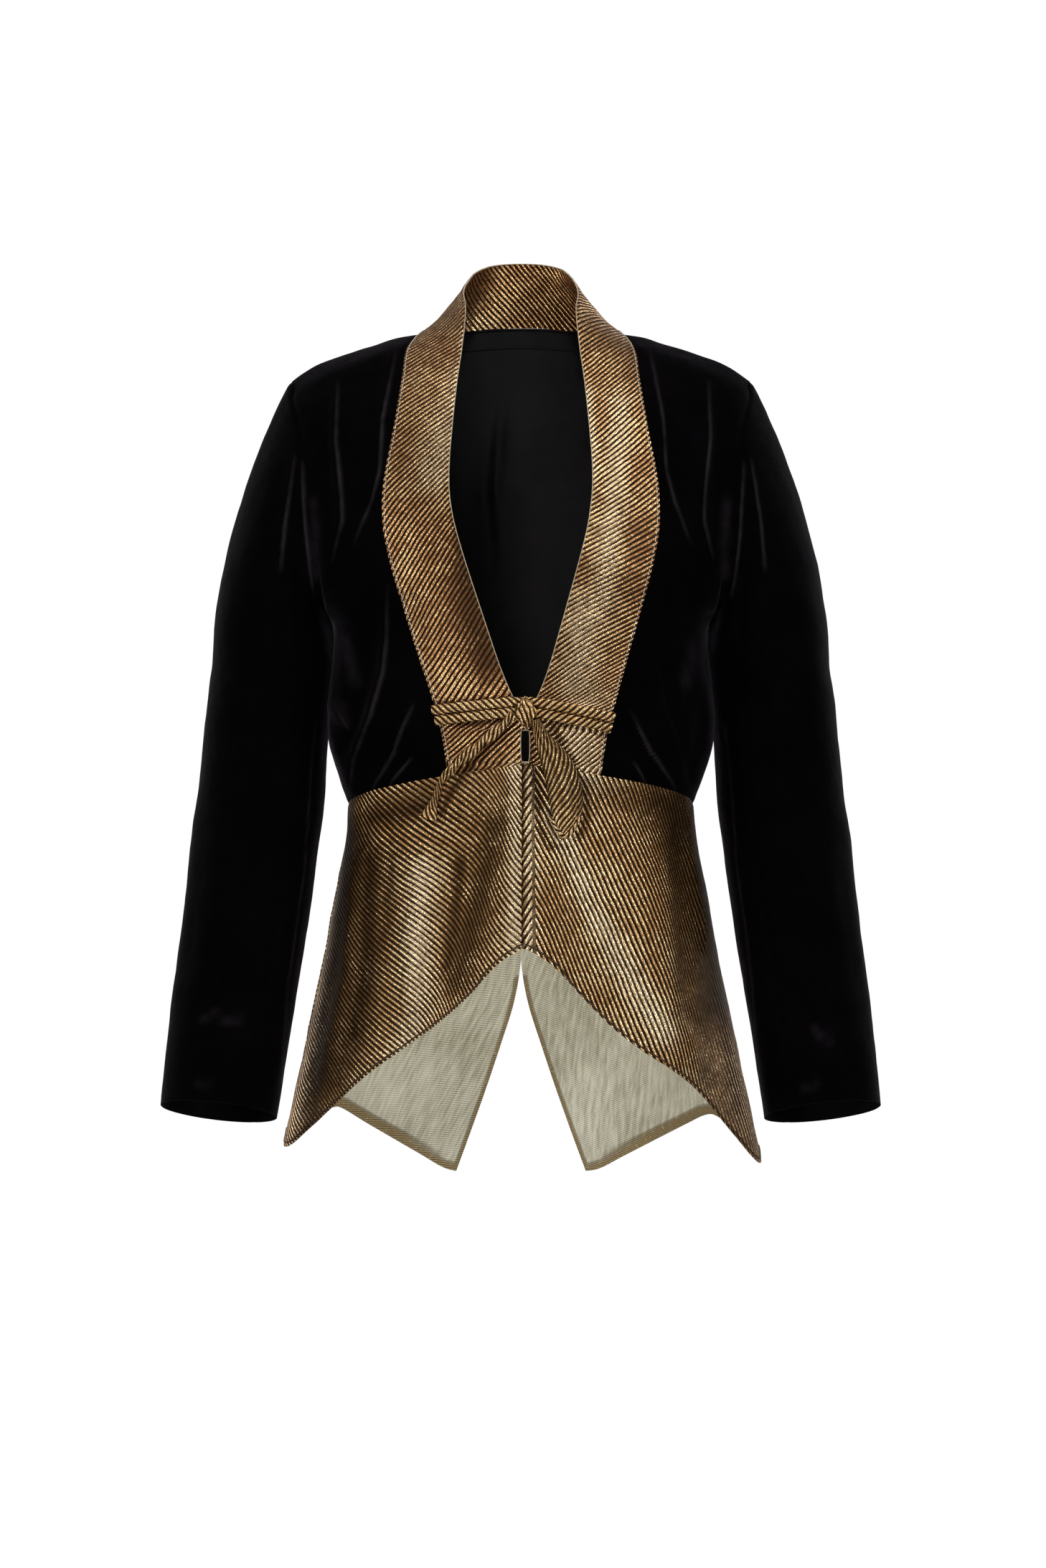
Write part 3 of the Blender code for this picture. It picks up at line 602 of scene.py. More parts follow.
def surface(side, face, angle, height):
    """A point of the form's outer face, and the direction out of the cloth there.

    The section is a soft oval. Near the shoulder it closes over the ridge as a quarter turn.
    """
    angle, height = np.broadcast_arrays(np.asarray(angle, float), np.asarray(height, float))
    wide, deep, a = half_width(height), depth(face, height), np.radians(angle)
    across = wide * np.sin(a)
    below = np.clip((smooth(across, RIDGE["across"], RIDGE["height"]) - height) / RIDGE_ROUND, 0, 1)
    turn = np.sqrt(np.clip(1 - (1 - below) ** 2, 0, 1))
    x = side * across
    y = face * deep * np.cos(a) ** ROUNDNESS * turn
    sway = SWAY * np.clip((SWAY_TOP - height) / SWAY_RUN, 0, 1) * np.cos(a) ** 2 * (face < 0)
    out = unit(np.stack([x / wide**2, y / deep**2, np.zeros_like(x)], -1))
    ahead, behind = (smooth(across + step, RIDGE["across"], RIDGE["height"]) for step in RIDGE_STEP)
    lean = np.clip((behind - ahead) / (RIDGE_STEP[0] - RIDGE_STEP[1]), 0, RIDGE_LEAN)
    up = unit(np.stack([side * lean, np.zeros_like(x), np.ones_like(x)], -1))
    out = unit(out * turn[..., None] + up * (1 - below)[..., None])
    point = np.stack([x + sway, y, height], -1)
    return lifted(point, out, drape(side, face, angle, height)), out


def waist(face, angle):
    """The height of the waist seam, which dips from the centre to the side."""
    centre = WAIST_FRONT if face < 0 else WAIST_BACK
    return centre + (WAIST_SIDE - centre) * np.asarray(angle, float) / 90


def armhole_angle(height):
    below = height <= ARMHOLE["height"][-1]
    return np.where(below, 90.0, smooth(height, ARMHOLE["height"], ARMHOLE["angle"]))


print("side seam at the waist:", surface(1, -1, 90.0, WAIST_SIDE)[0].round(1))

# %% [markdown]
# The fronts meet the collar band along a long seam that swings out round the chest. Each row of
# the next table is one level: where that seam is, where the same row ends at the side seam or the
# armhole, and where the band's free edge is. Above the shoulder the band stands round the neck,
# where its free edge is up to 6.5 mm nearer the middle than the solid's, as in the picture.

# %% Seams of the bodice and the band
FRONT = table("""
seam   seam_x  side   free_x  free
-368   61.8    -394   0.3     -360
-363   63.2    -387   0.3     -358.5
-355   64      -376   3.5     -356
-337   67      -358   3.5     -334
-328   69      -346   0.3     -331.5
-318   71.5    -334   0.3     -312.5
-308   74.5    -322   7.5     -310.5
-288   80.5    -299   18.5    -286
-262   88.5    -273   30      -250
-238   95.5    -247   38.5    -222
-212   103     -232   46      -197
-188   109     -214   52.5    -173
-164   112.5   -192   56.3    -154
-140   112.5   -170   58.2    -135
-116   109.5   -148   58      -113
-92    105     -126   56.5    -92
-66    101     -104   54.5    -68
-40    98      -80    52      -42
-15    95      -58    48.5    -14
1      85      -39    46      18
""")
NECK = table("""
seam_x  seam  free_x  free_y  free
78      4.5   48      -4      35
64      7.5   43.5    13      48
44      9.5   35      33      58
23      11.5  21      48      64
0       12    0       54      66
""")
LAST_CHEST_ROW = 16
FREE_EDGE_DEPTHS = {17: -64.0, 18: -46.0, 19: -24.0}
NECK_MIDDLE, NECK_EASE, BAND_ROLL = 10.0, 0.3, 2.0
FRONT_STEPS, BAND_STEPS, PEPLUM_ROWS = 8, 3, 9
RIDGE_ROWS, NECK_ROWS_BLENDED = 4, 6
SIDE_ANGLES = armhole_angle(FRONT["side"])
SEAM_ANGLES = angle_of(FRONT["seam_x"], FRONT["seam"])
UNDERARM_ROW = int(np.argmin(np.abs(FRONT["side"] - ARMHOLE["height"][-1])))
TOP_ROW = len(FRONT["seam"]) - 1


def last_rows(count):
    """A weight for each row, from 0 up to 1 over this many of the top ones."""
    return np.clip((np.arange(TOP_ROW + 1) - TOP_ROW + count) / count, 0, 1)[:, None]


def bodice_rows():
    """Angles and heights from the collar seam to the side, the same for front and back.

    The last row lies on the shoulder's ridge, and the few below it close up towards it.
    """
    u = np.linspace(0, 1, FRONT_STEPS + 1)
    angle = SEAM_ANGLES[:, None] + (SIDE_ANGLES - SEAM_ANGLES)[:, None] * u
    height = FRONT["seam"][:, None] + (FRONT["side"] - FRONT["seam"])[:, None] * u
    across = half_width(height[-1]) * np.sin(np.radians(angle[-1]))
    ridge = smooth(across, RIDGE["across"], RIDGE["height"])
    return angle, height + last_rows(RIDGE_ROWS) * (ridge - height[-1])


def back_half():
    """Angles and heights of one half of the back, from its centre to the side.

    Its first columns end in the neck's curve, and the rest lie behind those of the front.
    """
    angle, height = bodice_rows()
    neck_x, neck_z = NECK["seam_x"][::-1], NECK["seam"][::-1]
    part = angle_of(neck_x, neck_z) / SEAM_ANGLES[-1]
    seam = FRONT["seam"][:, None]
    share = (seam - seam[0]) / (seam[-1] - seam[0])
    centre = WAIST_BACK + (neck_z[0] - WAIST_BACK) * share
    near = centre + (seam - centre) * part
    near = near + last_rows(NECK_ROWS_BLENDED) ** 2 * (neck_z - near[-1])
    angle, height = np.hstack([SEAM_ANGLES[:, None] * part, angle]), np.hstack([near, height])
    height[0] = waist(1, angle[0])
    return angle, height


print("levels from waist to shoulder:", TOP_ROW + 1)

# %% [markdown]
# The rows above are a hand's width apart, too coarse to look like cloth. Each panel is worked out
# on that coarse grid first and is then filled in along smooth curves, so that it passes through
# the same points as its solid.


# %% Filling in a coarse grid
def finer(grid, down, across):
    """Fills a grid in along smooth curves through its own points.

    Between two points the curve is the cubic that leaves each of them with a slope of half the
    step between its two neighbours.
    """
    for steps in (down, across):
        more = np.concatenate([2 * grid[:1] - grid[1:2], grid, 2 * grid[-1:] - grid[-2:-1]])
        p, q, r, s = more[:-3], more[1:-2], more[2:-1], more[3:]
        t = (np.arange(steps) / steps).reshape((-1,) + (1,) * grid.ndim)
        curve = q + 0.5 * t * (r - p + t * (2 * p - 5 * q + 4 * r - s + t * (3 * (q - r) + s - p)))
        curve = curve.swapaxes(0, 1).reshape((-1,) + grid.shape[1:])
        grid = np.concatenate([curve, grid[-1:]]).swapaxes(0, 1)
    return grid


def fill(points, out, down, across):
    """A panel's coarse grid and its directions out, both filled in."""
    return finer(points, down, across), unit(finer(out, down, across))


def run_length(grid, axis):
    """How far each point lies along its row or column, measured on the cloth."""
    step = np.linalg.norm(np.diff(grid, axis=axis), axis=-1)
    return np.concatenate([np.zeros_like(step.take([0], axis)), np.cumsum(step, axis)], axis)


def from_edges(grid):
    """The distance of each point from the four edges of its panel."""
    across, down = run_length(grid, 1), run_length(grid, 0)
    return {
        "first_column": across, "last_column": across[:, -1:] - across,
        "first_row": down, "last_row": down[-1:] - down,
    }


print("one coarse cell becomes", finer(np.zeros((2, 2, 3)), 6, 8).shape[:2], "points")

# %% [markdown]
# Creases are placed along the lines that they take in the picture. Each is a soft ridge with a shallower
# hollow on one side, as a fold of cloth has, and it dies away at both its ends.
# A slow unevenness goes over everything, because no worn cloth lies quite smooth.


# %% Creases and unevenness
MIRROR = 1452.0


def placed(text):
    """The lines of a given list: the numbers before the colon, and the places in the picture after it,
    as an array."""
    rows = [line.split(":") for line in text.strip().splitlines()]
    return [
        (list(map(float, head.split())), np.array([place.split() for place in run.split(",")], float))
        for head, run in rows
    ]


def both_sides(lines):
    """Listed lines, and the same lines mirrored to the picture's other half."""
    return lines + [(numbers, path * (-1, 1) + (MIRROR, 0)) for numbers, path in lines]


def from_path(across, down, path):
    """The distance from a line through some places, the side of it, and the share of its length
    that lies before the nearest point."""
    best = np.full(across.shape, 1e9)
    side, share = np.zeros(across.shape), np.zeros(across.shape)
    moves = np.diff(path, axis=0)
    lengths = np.hypot(moves[:, 0], moves[:, 1])
    before = 0.0
    for (x, y), (dx, dy), length in zip(path[:-1], moves, lengths):
        along = np.clip(((across - x) * dx + (down - y) * dy) / length**2, 0, 1)
        off_x, off_y = across - x - along * dx, down - y - along * dy
        away = np.hypot(off_x, off_y)
        nearer = away < best
        best = np.where(nearer, away, best)
        side = np.where(nearer, np.sign(dx * off_y - dy * off_x), side)
        share = np.where(nearer, (before + along * length) / lengths.sum(), share)
        before += length
    return best, side, share


def crease(across, down, path, wide):
    """From 1 on the line of a fold to 0 away from it: a bell curve of the distance from the line,
    less a wider and lower bell on one side, and all of it faded towards the line's two ends."""
    away, side, share = from_path(across, down, path)
    ends = np.sin(np.pi * np.clip(share, 0, 1)) ** 0.7
    hollow = bell((away * side - 1.7 * wide) / (1.5 * wide))
    return (bell(away / wide) - 0.6 * hollow) * ends


def creased(points, out, creases):
    """Moves cloth out along its creases, and marks their crests for a painted sheen on velvet. A crease
    is a depth in mm, a width in pixels, and the places that it goes through."""
    across, down = seen(points)
    moved, crest = np.zeros(across.shape), np.zeros(across.shape)
    for (deep, wide), path in creases:
        moved += deep * crease(across, down, path, wide)
        # The crests of raised creases get the mark for a painted sheen.
        if deep > 0:
            crest = np.maximum(crest, crease(across - 0.3 * wide, down, path, 0.32 * wide))
    return lifted(points, out, moved), np.clip(crest, 0, 1)


def zone(points, lines):
    """From 0 to 1: how near points are to listed lines, each a width and its places."""
    across, down = seen(points)
    shares = [bell(from_path(across, down, path)[0] / wide) for (wide,), path in lines]
    return np.max(shares, axis=0)


WAVES = np.array([[1, 0.3, 0.6], [-0.4, 0.8, 1], [0.7, -1, 0.5], [0.2, 0.5, -1.1], [-0.9, -0.2, 0.7]])


def ripple(points, size):
    """Soft unevenness from -1 to 1: five slow waves across one another, each a little bent."""
    turns = points @ WAVES.T * (2 * np.pi / size)
    return np.sin(turns + np.arange(5) * 1.7 + 0.8 * np.sin(turns[..., ::-1] * 0.53)).mean(-1)


def uneven(points, out, *waves):
    """Cloth that lies unevenly: each wave is a height and a size in mm."""
    return lifted(points, out, sum(height * ripple(points, size) for height, size in waves))


def tucked(points, out, edges, deep=0.9, wide=2.8):
    """Sinks cloth into its seams: by deep on the seam, and less along a bell curve away from it."""
    away = from_edges(points)
    sink = sum(bell(away[edge] / wide) for edge in edges)
    return lifted(points, out, -deep * np.minimum(sink, 1))


FRONT_CREASES = both_sides(placed("""
2.2 9 : 468 529, 466 611, 474 690, 475 726, 459 786
1.8 8 : 550 486, 531 583, 527 654, 516 697, 490 761
-1.6 9 : 529 719, 512 775, 495 836
""")) + placed("""
2.4 9 : 537 813, 537 884, 532 937, 514 1000, 490 1059, 485 1105
2.0 8 : 575 979, 558 1017, 547 1050, 514 1103
1.5 7 : 573 1055, 539 1095
1.6 7 : 463 979, 484 1019
-2.4 9 : 912 867, 924 930, 933 979, 952 1032, 966 1099
2.0 8 : 874 987, 903 1048, 941 1103
1.4 6 : 880 1060, 900 1096
""")
BACK_CREASES = placed("""
2.2 10 : 520 560, 500 640, 492 720, 470 800
2.0 10 : 930 560, 950 640, 962 730, 985 790
2.2 10 : 560 880, 545 960, 520 1040, 505 1100
-2.0 9 : 600 960, 590 1030, 560 1100
2.2 10 : 890 880, 905 960, 935 1040, 950 1100
-2.0 9 : 850 970, 862 1040, 890 1105
1.6 8 : 700 560, 690 680, 700 800
""")
SLEEVE_CREASES = both_sides(placed("""
2.0 9 : 418 640, 424 744, 434 836
-1.8 9 : 416 704, 415 797, 420 886, 429 976
1.6 8 : 409 633, 395 729, 388 800
-1.4 10 : 352 840, 360 930, 352 1010, 362 1090
-1.0 8 : 300 1150, 330 1172, 368 1178
-1.2 8 : 410 1120, 376 1150, 340 1158
-1.2 7 : 262 1406, 300 1428, 342 1436
-1.0 7 : 386 1412, 352 1438, 316 1448
-1.2 9 : 345 1200, 338 1300, 322 1390
"""))
# Lines of painted sheen along the sleeve seams, each a width and its places.
SLEEVE_SEAM = placed("""
1.6 : 437 1010, 426 1200, 402 1370, 393 1500, 388 1590
1.6 : 1013 1010, 1026 1200, 1048 1370, 1058 1500, 1062 1590
""")
# Patches of painted sheen on the velvet, each a width and its places.
SHEEN_PATCHES = placed("""
5 : 284 1420, 300 1413, 318 1424, 336 1421
5 : 276 1510, 292 1516
5 : 1120 1517, 1138 1509
5 : 1136 1436, 1144 1446, 1158 1450
10 : 482 896, 494 950
9 : 474 984, 480 1006
10 : 968 900, 958 950
8 : 436 700, 440 800
8 : 1014 700, 1010 800
""")
PEPLUM_CREASES = placed("""
3.0 13 : 499 1185, 489 1275, 482 1363, 461 1451, 446 1530
2.0 22 : 590 1240, 583 1330, 583 1416, 575 1500
-2.6 22 : 700 1150, 672 1250, 640 1350
-1.8 10 : 540 1140, 536 1230, 528 1320
-2.4 12 : 943 1135, 950 1260, 960 1416, 1009 1503
1.5 8 : 957 1128, 974 1233, 990 1330
2.2 20 : 830 1150, 838 1260, 850 1370
-1.6 14 : 790 1180, 792 1280
""")
BAND_CREASES = placed("""
0.9 4 : 706 1012, 682 1032, 664 1062
-0.7 4 : 700 1004, 668 1018, 640 1034
0.8 4 : 690 1002, 660 1010, 632 1016
0.7 4 : 766 1012, 790 1030, 812 1052
-0.6 4 : 770 1004, 800 1016, 826 1030
0.8 7 : 574 745, 600 780, 640 792
-0.7 7 : 868 700, 850 740, 812 760
0.6 8 : 560 640, 590 612, 618 590
""")
# Zones of painted highlight on the lame, each a width and its places.
PAINTED_HIGHLIGHTS = placed("""
22 : 590 1210, 583 1300, 583 1416, 566 1470
11 : 718 1070, 717 1320
12 : 738 1075, 736 1325
20 : 776 1130, 812 1240, 868 1345, 930 1445
32 : 672 470, 644 560, 604 660
20 : 866 560, 856 700, 840 840
42 : 810 990, 812 1060
30 : 818 850, 802 960
7 : 821 545, 827 640, 820 700, 808 760
""")
# Zones of painted shade on the lame, each a width and its places: the troughs of folds, darker parts of
# the band and peplum, and shadows beside the tie.
PAINTED_SHADES = placed("""
6 : 738 1012, 740 1070, 749 1110, 751 1150, 768 1180, 792 1182
6 : 768 1010, 799 1060, 816 1100, 818 1140, 806 1170
4 : 640 1012, 700 1004, 716 1000
4 : 742 1004, 790 1012, 850 1026
5 : 708 1012, 680 1042, 648 1074, 631 1100, 615 1134
4 : 604 982, 720 972
30 : 655 740, 650 800, 660 860, 680 920
30 : 486 1160, 478 1350, 452 1500
18 : 520 1200, 514 1330, 496 1440
11 : 642 1200, 636 1280, 624 1350
16 : 520 1140, 600 1124
24 : 692 1150, 668 1260, 638 1370
38 : 930 1120, 975 1250, 1000 1400
""")
print("creases placed by hand:", len(FRONT_CREASES + BACK_CREASES + SLEEVE_CREASES + PEPLUM_CREASES))

# %% [markdown]
# A panel of cloth has a right side, a wrong side and cut or folded edges. The shell below joins a
# grid, the same grid a cloth's thickness further in, and a rim, and it carries a map of the flat
# cloth in metres, which the weave and the ribs follow.


# %% A shell of cloth
SHARP_ANGLE = math.radians(48)


def quad_mesh(name, points, faces, finishes, kinds=None, cloth_map=None, marks=None):
    """A mesh from whole arrays: points in mm, four-sided faces, and the finish of each face."""
    mesh = bpy.data.meshes.new(name)
    mesh.vertices.add(len(points))
    mesh.vertices.foreach_set("co", (points * MM).ravel())
    mesh.loops.add(faces.size)
    mesh.loops.foreach_set("vertex_index", faces.ravel())
    mesh.polygons.add(len(faces))
    mesh.polygons.foreach_set("loop_start", np.arange(0, faces.size, 4))
    if kinds is not None:
        mesh.polygons.foreach_set("material_index", kinds)
    mesh.update(calc_edges=True)
    if cloth_map is not None:
        layer = mesh.uv_layers.new(name="cloth")
        layer.data.foreach_set("uv", cloth_map[faces.ravel()].ravel())
    for key, values in (marks or {}).items():
        mesh.attributes.new(key, "FLOAT", "POINT").data.foreach_set("value", values)
    for finish in finishes:
        mesh.materials.append(finish)
    mesh.shade_smooth()
    mesh.set_sharp_from_angle(angle=SHARP_ANGLE)
    return mesh


def shell(name, outer, out, thick, finishes, cloth_map, marks=None, inner_map=None):
    """One closed piece of cloth from its outer grid: right side, wrong side and rim."""
    rows, columns = outer.shape[:2]
    count = rows * columns
    index = np.arange(count).reshape(rows, columns)
    corners = [index[:-1, :-1], index[:-1, 1:], index[1:, 1:], index[1:, :-1]]
    face = np.stack(corners, -1).reshape(-1, 4)
    ring = np.concatenate([index[0, :-1], index[:-1, -1], index[-1, :0:-1], index[:0:-1, 0]])
    after = np.roll(ring, -1)
    rim = np.stack([after, ring, ring + count, after + count], -1)
    faces = np.concatenate([face, face[:, ::-1] + count, rim])
    facing = np.cross(outer[:-1, 1:] - outer[:-1, :-1], outer[1:, :-1] - outer[:-1, :-1])
    if (facing * out[:-1, :-1]).sum() < 0:
        faces = faces[:, ::-1]
    points = np.concatenate([outer.reshape(-1, 3), (outer - out * thick).reshape(-1, 3)])
    kinds = np.concatenate([np.zeros(len(face)), np.ones(len(face)), np.zeros(len(rim))]).astype(int)
    both = np.concatenate([cloth_map, cloth_map if inner_map is None else inner_map]).reshape(-1, 2)
    spread = {
        key: np.tile(np.broadcast_to(values, (rows, columns)).ravel(), 2)
        for key, values in (marks or {}).items()
    }
    return quad_mesh(name, points, faces, finishes, kinds, both, spread)


def straight_grain(grid):
    """The flat cloth's map, with its threads along the rows and columns."""
    return np.stack([run_length(grid, 1), run_length(grid, 0)], -1) * MM


def bias_map(along, across, turn, shift=0.0):
    """The map of cloth whose ribs lie turned from the panel's length: first across the ribs, then
    along them. A shift pushes the ribs sideways."""
    turn = np.radians(turn)
    apart = along * np.sin(turn) + across * np.cos(turn) + shift
    return np.stack([apart, along * np.cos(turn) - across * np.sin(turn)], -1) * MM


def worn(mesh, slot, *nodes):
    """Puts a piece on the jacket, in place of its solids."""
    piece = bpy.data.objects.new(mesh.name, mesh)
    bpy.context.scene.collection.objects.link(piece)
    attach(piece, "root")
    if nodes:
        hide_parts(*nodes)
    print(mesh.name, len(mesh.polygons), "faces")
    return piece


# %% [markdown]
# The two fronts and the back are velvet with satin inside. On the real jacket velvet and lining
# are two cloths sewn together round the edge. Here they are the two sides of one shell.


# %% Fronts and back
FINE_DOWN, FINE_ACROSS, VELVET_SHELL = 8, 9, 1.3
SIDE_SWELL, SWELL_HEIGHTS = (1.6, 3.0), (-280.0, 66.0)
# How strongly the painted sheen lightens the sleeve seams and the sheen patches.
SEAM_SHEEN, SHEEN_PATCH_SHARE = 0.35, 0.25
VELVET_FINISHES, SATIN_FINISHES = (VELVET_PILE, BLACK_SATIN), (BLACK_SATIN, BLACK_SATIN)
ALL_EDGES = ("first_row", "last_row", "first_column", "last_column")


def near(values, middle, reach):
    """1 at the middle and 0 beyond its reach: a bell with a flat top."""
    return np.exp(-(((values - middle) / reach) ** 4))


def bodice(points, out, creases):
    """A panel's fine outer grid and the direction out of it, with its creases and sunk seams."""
    points, out = fill(points, out, FINE_DOWN, FINE_ACROSS)
    points, crest = creased(points, out, creases)
    # Painted sheen: crease crests, and patches on the cloth that faces forward.
    crest = np.maximum(crest, SHEEN_PATCH_SHARE * zone(points, SHEEN_PATCHES) * (out[..., 1] < 0))
    swell = SIDE_SWELL[0] * near(points[..., 2], *SWELL_HEIGHTS) * near(points[..., 1], 0.0, 40.0)
    points = uneven(lifted(points, out, swell), out, (0.5, 70.0), (0.25, 24.0))
    return tucked(points, out, ALL_EDGES), out, {"painted_sheen": crest}


def velvet_shell(name, points, out, marks):
    return shell(name, points, out, VELVET_SHELL, VELVET_FINISHES, straight_grain(points), marks)


angle, height = bodice_rows()
height[0] = waist(-1, angle[0])
for side, hand in SIDES:
    mesh = velvet_shell(
        "front_" + hand + "_velvet", *bodice(*surface(side, -1, angle, height), FRONT_CREASES)
    )
    front = worn(mesh, "velvet", "front_" + hand)

halves = [surface(side, 1, *back_half()) for side, _ in SIDES]
back_grid = [np.concatenate([right[:, ::-1], left[:, 1:]], axis=1) for right, left in zip(*halves)]
back_points, back_out, marks = bodice(*back_grid, BACK_CREASES)
mesh = velvet_shell("back_velvet", back_points, back_out, marks)
back = worn(mesh, "velvet", "back")

# %% [markdown]
# Inside the back the neck opening shows the satin lining, which hangs a little free of the velvet
# and so has long soft pulls, and the narrow tape that covers the seam of the band.

# %% Back lining and neck tape
TAPE_ROWS, TAPE_HALF = slice(-8, -1), 27


def satin_layer(name, points, out, lower, thick):
    """A layer of satin inside the back, lower than the velvet's outer face by this much."""
    points = lifted(points, out, -lower)
    return shell(name, points, out, thick, SATIN_FINISHES, straight_grain(points))


part = (slice(FINE_DOWN, -FINE_DOWN), slice(FINE_ACROSS, -FINE_ACROSS))
pulls = 0.35 * ripple(back_points[part] * (1, 1, 0.3), 46.0)
lower = VELVET_WALL + LAYER_GAP - 0.2 + pulls
mesh = satin_layer("back_lining_satin", back_points[part], back_out[part], lower, 0.5)
piece = worn(mesh, "satin", "back_lining")
middle = back_points.shape[1] // 2
part = (TAPE_ROWS, slice(middle - TAPE_HALF, middle + TAPE_HALF + 1))
lower = np.full(back_points[part].shape[:2], VELVET_WALL + LAYER_GAP)
mesh = satin_layer("neck_tape_satin", back_points[part], back_out[part], lower, 0.8)
piece = worn(mesh, "satin", "neck_tape")

# %% [markdown]
# Each sleeve is two-piece: a wide top sleeve and a narrow under sleeve, so that it can bend at
# the elbow without a dart. It starts from the armhole, swells over the cap and runs down to the
# cuff along a line that leans forward.

# %% Sleeve numbers
SLEEVE = rows_of(table("""
height  x      y     width  depth
-276    208    1     50     60
-300    210.8  0     50.2   59.5
-326    213    -1    50.7   59
-356    214.5  -4    52     58
-392    217    -9    53     56.5
-430    222    -16   53     54.5
-470    226    -25   52.3   53
-512    231    -35   51.5   51
-556    237    -46   50.6   49
-598    242    -57   49.5   47.5
-644    247    -69   48.2   46
"""))
SLEEVE_FOLDS = rows_of(table("""
top_angle  top   low_angle  low   spread  depth
112        -280  94         -470  13      -2.5
70         -290  82         -420  12      -2.0
250        -285  265        -450  14      -2.5
95         -500  115        -640  14      -2.0
35         -400  45         -600  12      -1.5
275        -520  263        -640  14      -2.0
"""))
CAP_STEPS = (0.08, 0.2, 0.35, 0.52, 0.7, 0.86)
CAP_LEAN_TOP, CAP_LEAN_LOW, CAP_FORWARD = 1.5, -1.2, 0.25
CAP_START_TOP, CAP_START_LOW, CAP_END = 0.1, 0.35, 0.4
LEVEL_RINGS, UNDER_FRONT, UNDER_BACK = 3, 3, 3


def sleeve_ring(side, i, turn):
    """A ring of the sleeve, square to the arm's line, and the direction out of it.

    turn goes round from the outer side (0) by the front (90) and the inner side (180).
    """
    place, before, after = SLEEVE[i], SLEEVE[max(i - 1, 0)], SLEEVE[min(i + 1, len(SLEEVE) - 1)]
    run = np.array([
        side * (after["x"] - before["x"]), after["y"] - before["y"], after["height"] - before["height"]
    ])
    level = min(i / LEVEL_RINGS, 1)
    run = unit(unit(run) * level + np.array([0, 0, -1.0]) * (1 - level))
    outward = unit(np.array([side, 0, 0]) - run * (side * run[0]))
    forward = unit(np.array([0, -1.0, 0]) + run * run[1])
    a = np.radians(turn)[:, None]
    centre = np.array([side * place["x"], place["y"], place["height"]])
    out = unit(outward * np.cos(a) / place["width"] + forward * np.sin(a) / place["depth"])
    ring = centre + outward * np.cos(a) * place["width"] + forward * np.sin(a) * place["depth"]
    return lifted(ring, out, folded_by(SLEEVE_FOLDS, turn, place["height"])), out, run


def armhole(side, face):
    rows = slice(UNDERARM_ROW, TOP_ROW + 1)
    return surface(side, face, SIDE_ANGLES[rows], FRONT["side"][rows])


def round_the_arm(outer, inner, a):
    """A value that goes from the outer side's to the inner side's, and back."""
    return (outer + inner) / 2 + (outer - inner) / 2 * np.cos(a)


def sleeve_grid(side):
    """The whole sleeve as rings from the armhole to the cuff, and the direction out of it.

    Over the cap each column is one curve of four control points, which leaves the armhole
    sideways and meets the arm's first ring along the arm.
    """
    hole, hole_out = (
        np.concatenate([front[::-1], back[1:-1]])
        for front, back in zip(armhole(side, -1), armhole(side, 1))
    )
    size, half = len(hole), len(hole) // 2
    lengths = np.linalg.norm(np.roll(hole, -1, axis=0) - hole, axis=1)
    turn = np.zeros(size)
    for first, last, start in ((0, half, 0.0), (half, size, 180.0)):
        part = lengths[first:last]
        turn[first:last] = start + 180 * np.concatenate([[0], np.cumsum(part)[:-1]]) / part.sum()
    turn = (turn + np.arange(size) * 360 / size) / 2
    arm = [sleeve_ring(side, i, turn) for i in range(len(SLEEVE))]
    top_ring, _, run = arm[0]
    a = np.radians(turn)[:, None]
    lean = round_the_arm(CAP_LEAN_TOP, CAP_LEAN_LOW, a)
    leave = unit(np.concatenate([side * np.ones_like(a), CAP_FORWARD * np.sin(a), -lean], axis=1))
    start = hole + leave * SEAM_GAP
    reach = np.linalg.norm(top_ring - start, axis=1, keepdims=True)
    near_hole = start + leave * reach * round_the_arm(CAP_START_TOP, CAP_START_LOW, a)
    near_arm = top_ring - run * reach * CAP_END
    cap = [
        start * (1 - t) ** 3 + near_hole * 3 * t * (1 - t) ** 2 + near_arm * 3 * t * t * (1 - t)
        + top_ring * t**3
        for t in CAP_STEPS
    ]
    outer = np.array([start] + cap + [ring for ring, _, _ in arm])
    round_it = np.roll(outer, -1, axis=1) - np.roll(outer, 1, axis=1)
    normal = unit(np.cross(round_it, np.gradient(outer, axis=0)) * side)
    if (normal[-4] * arm[-4][1]).sum() < 0:
        normal = -normal
    normal[0] = hole_out
    return outer, normal


print("sleeve length along the outside: about 617 mm")

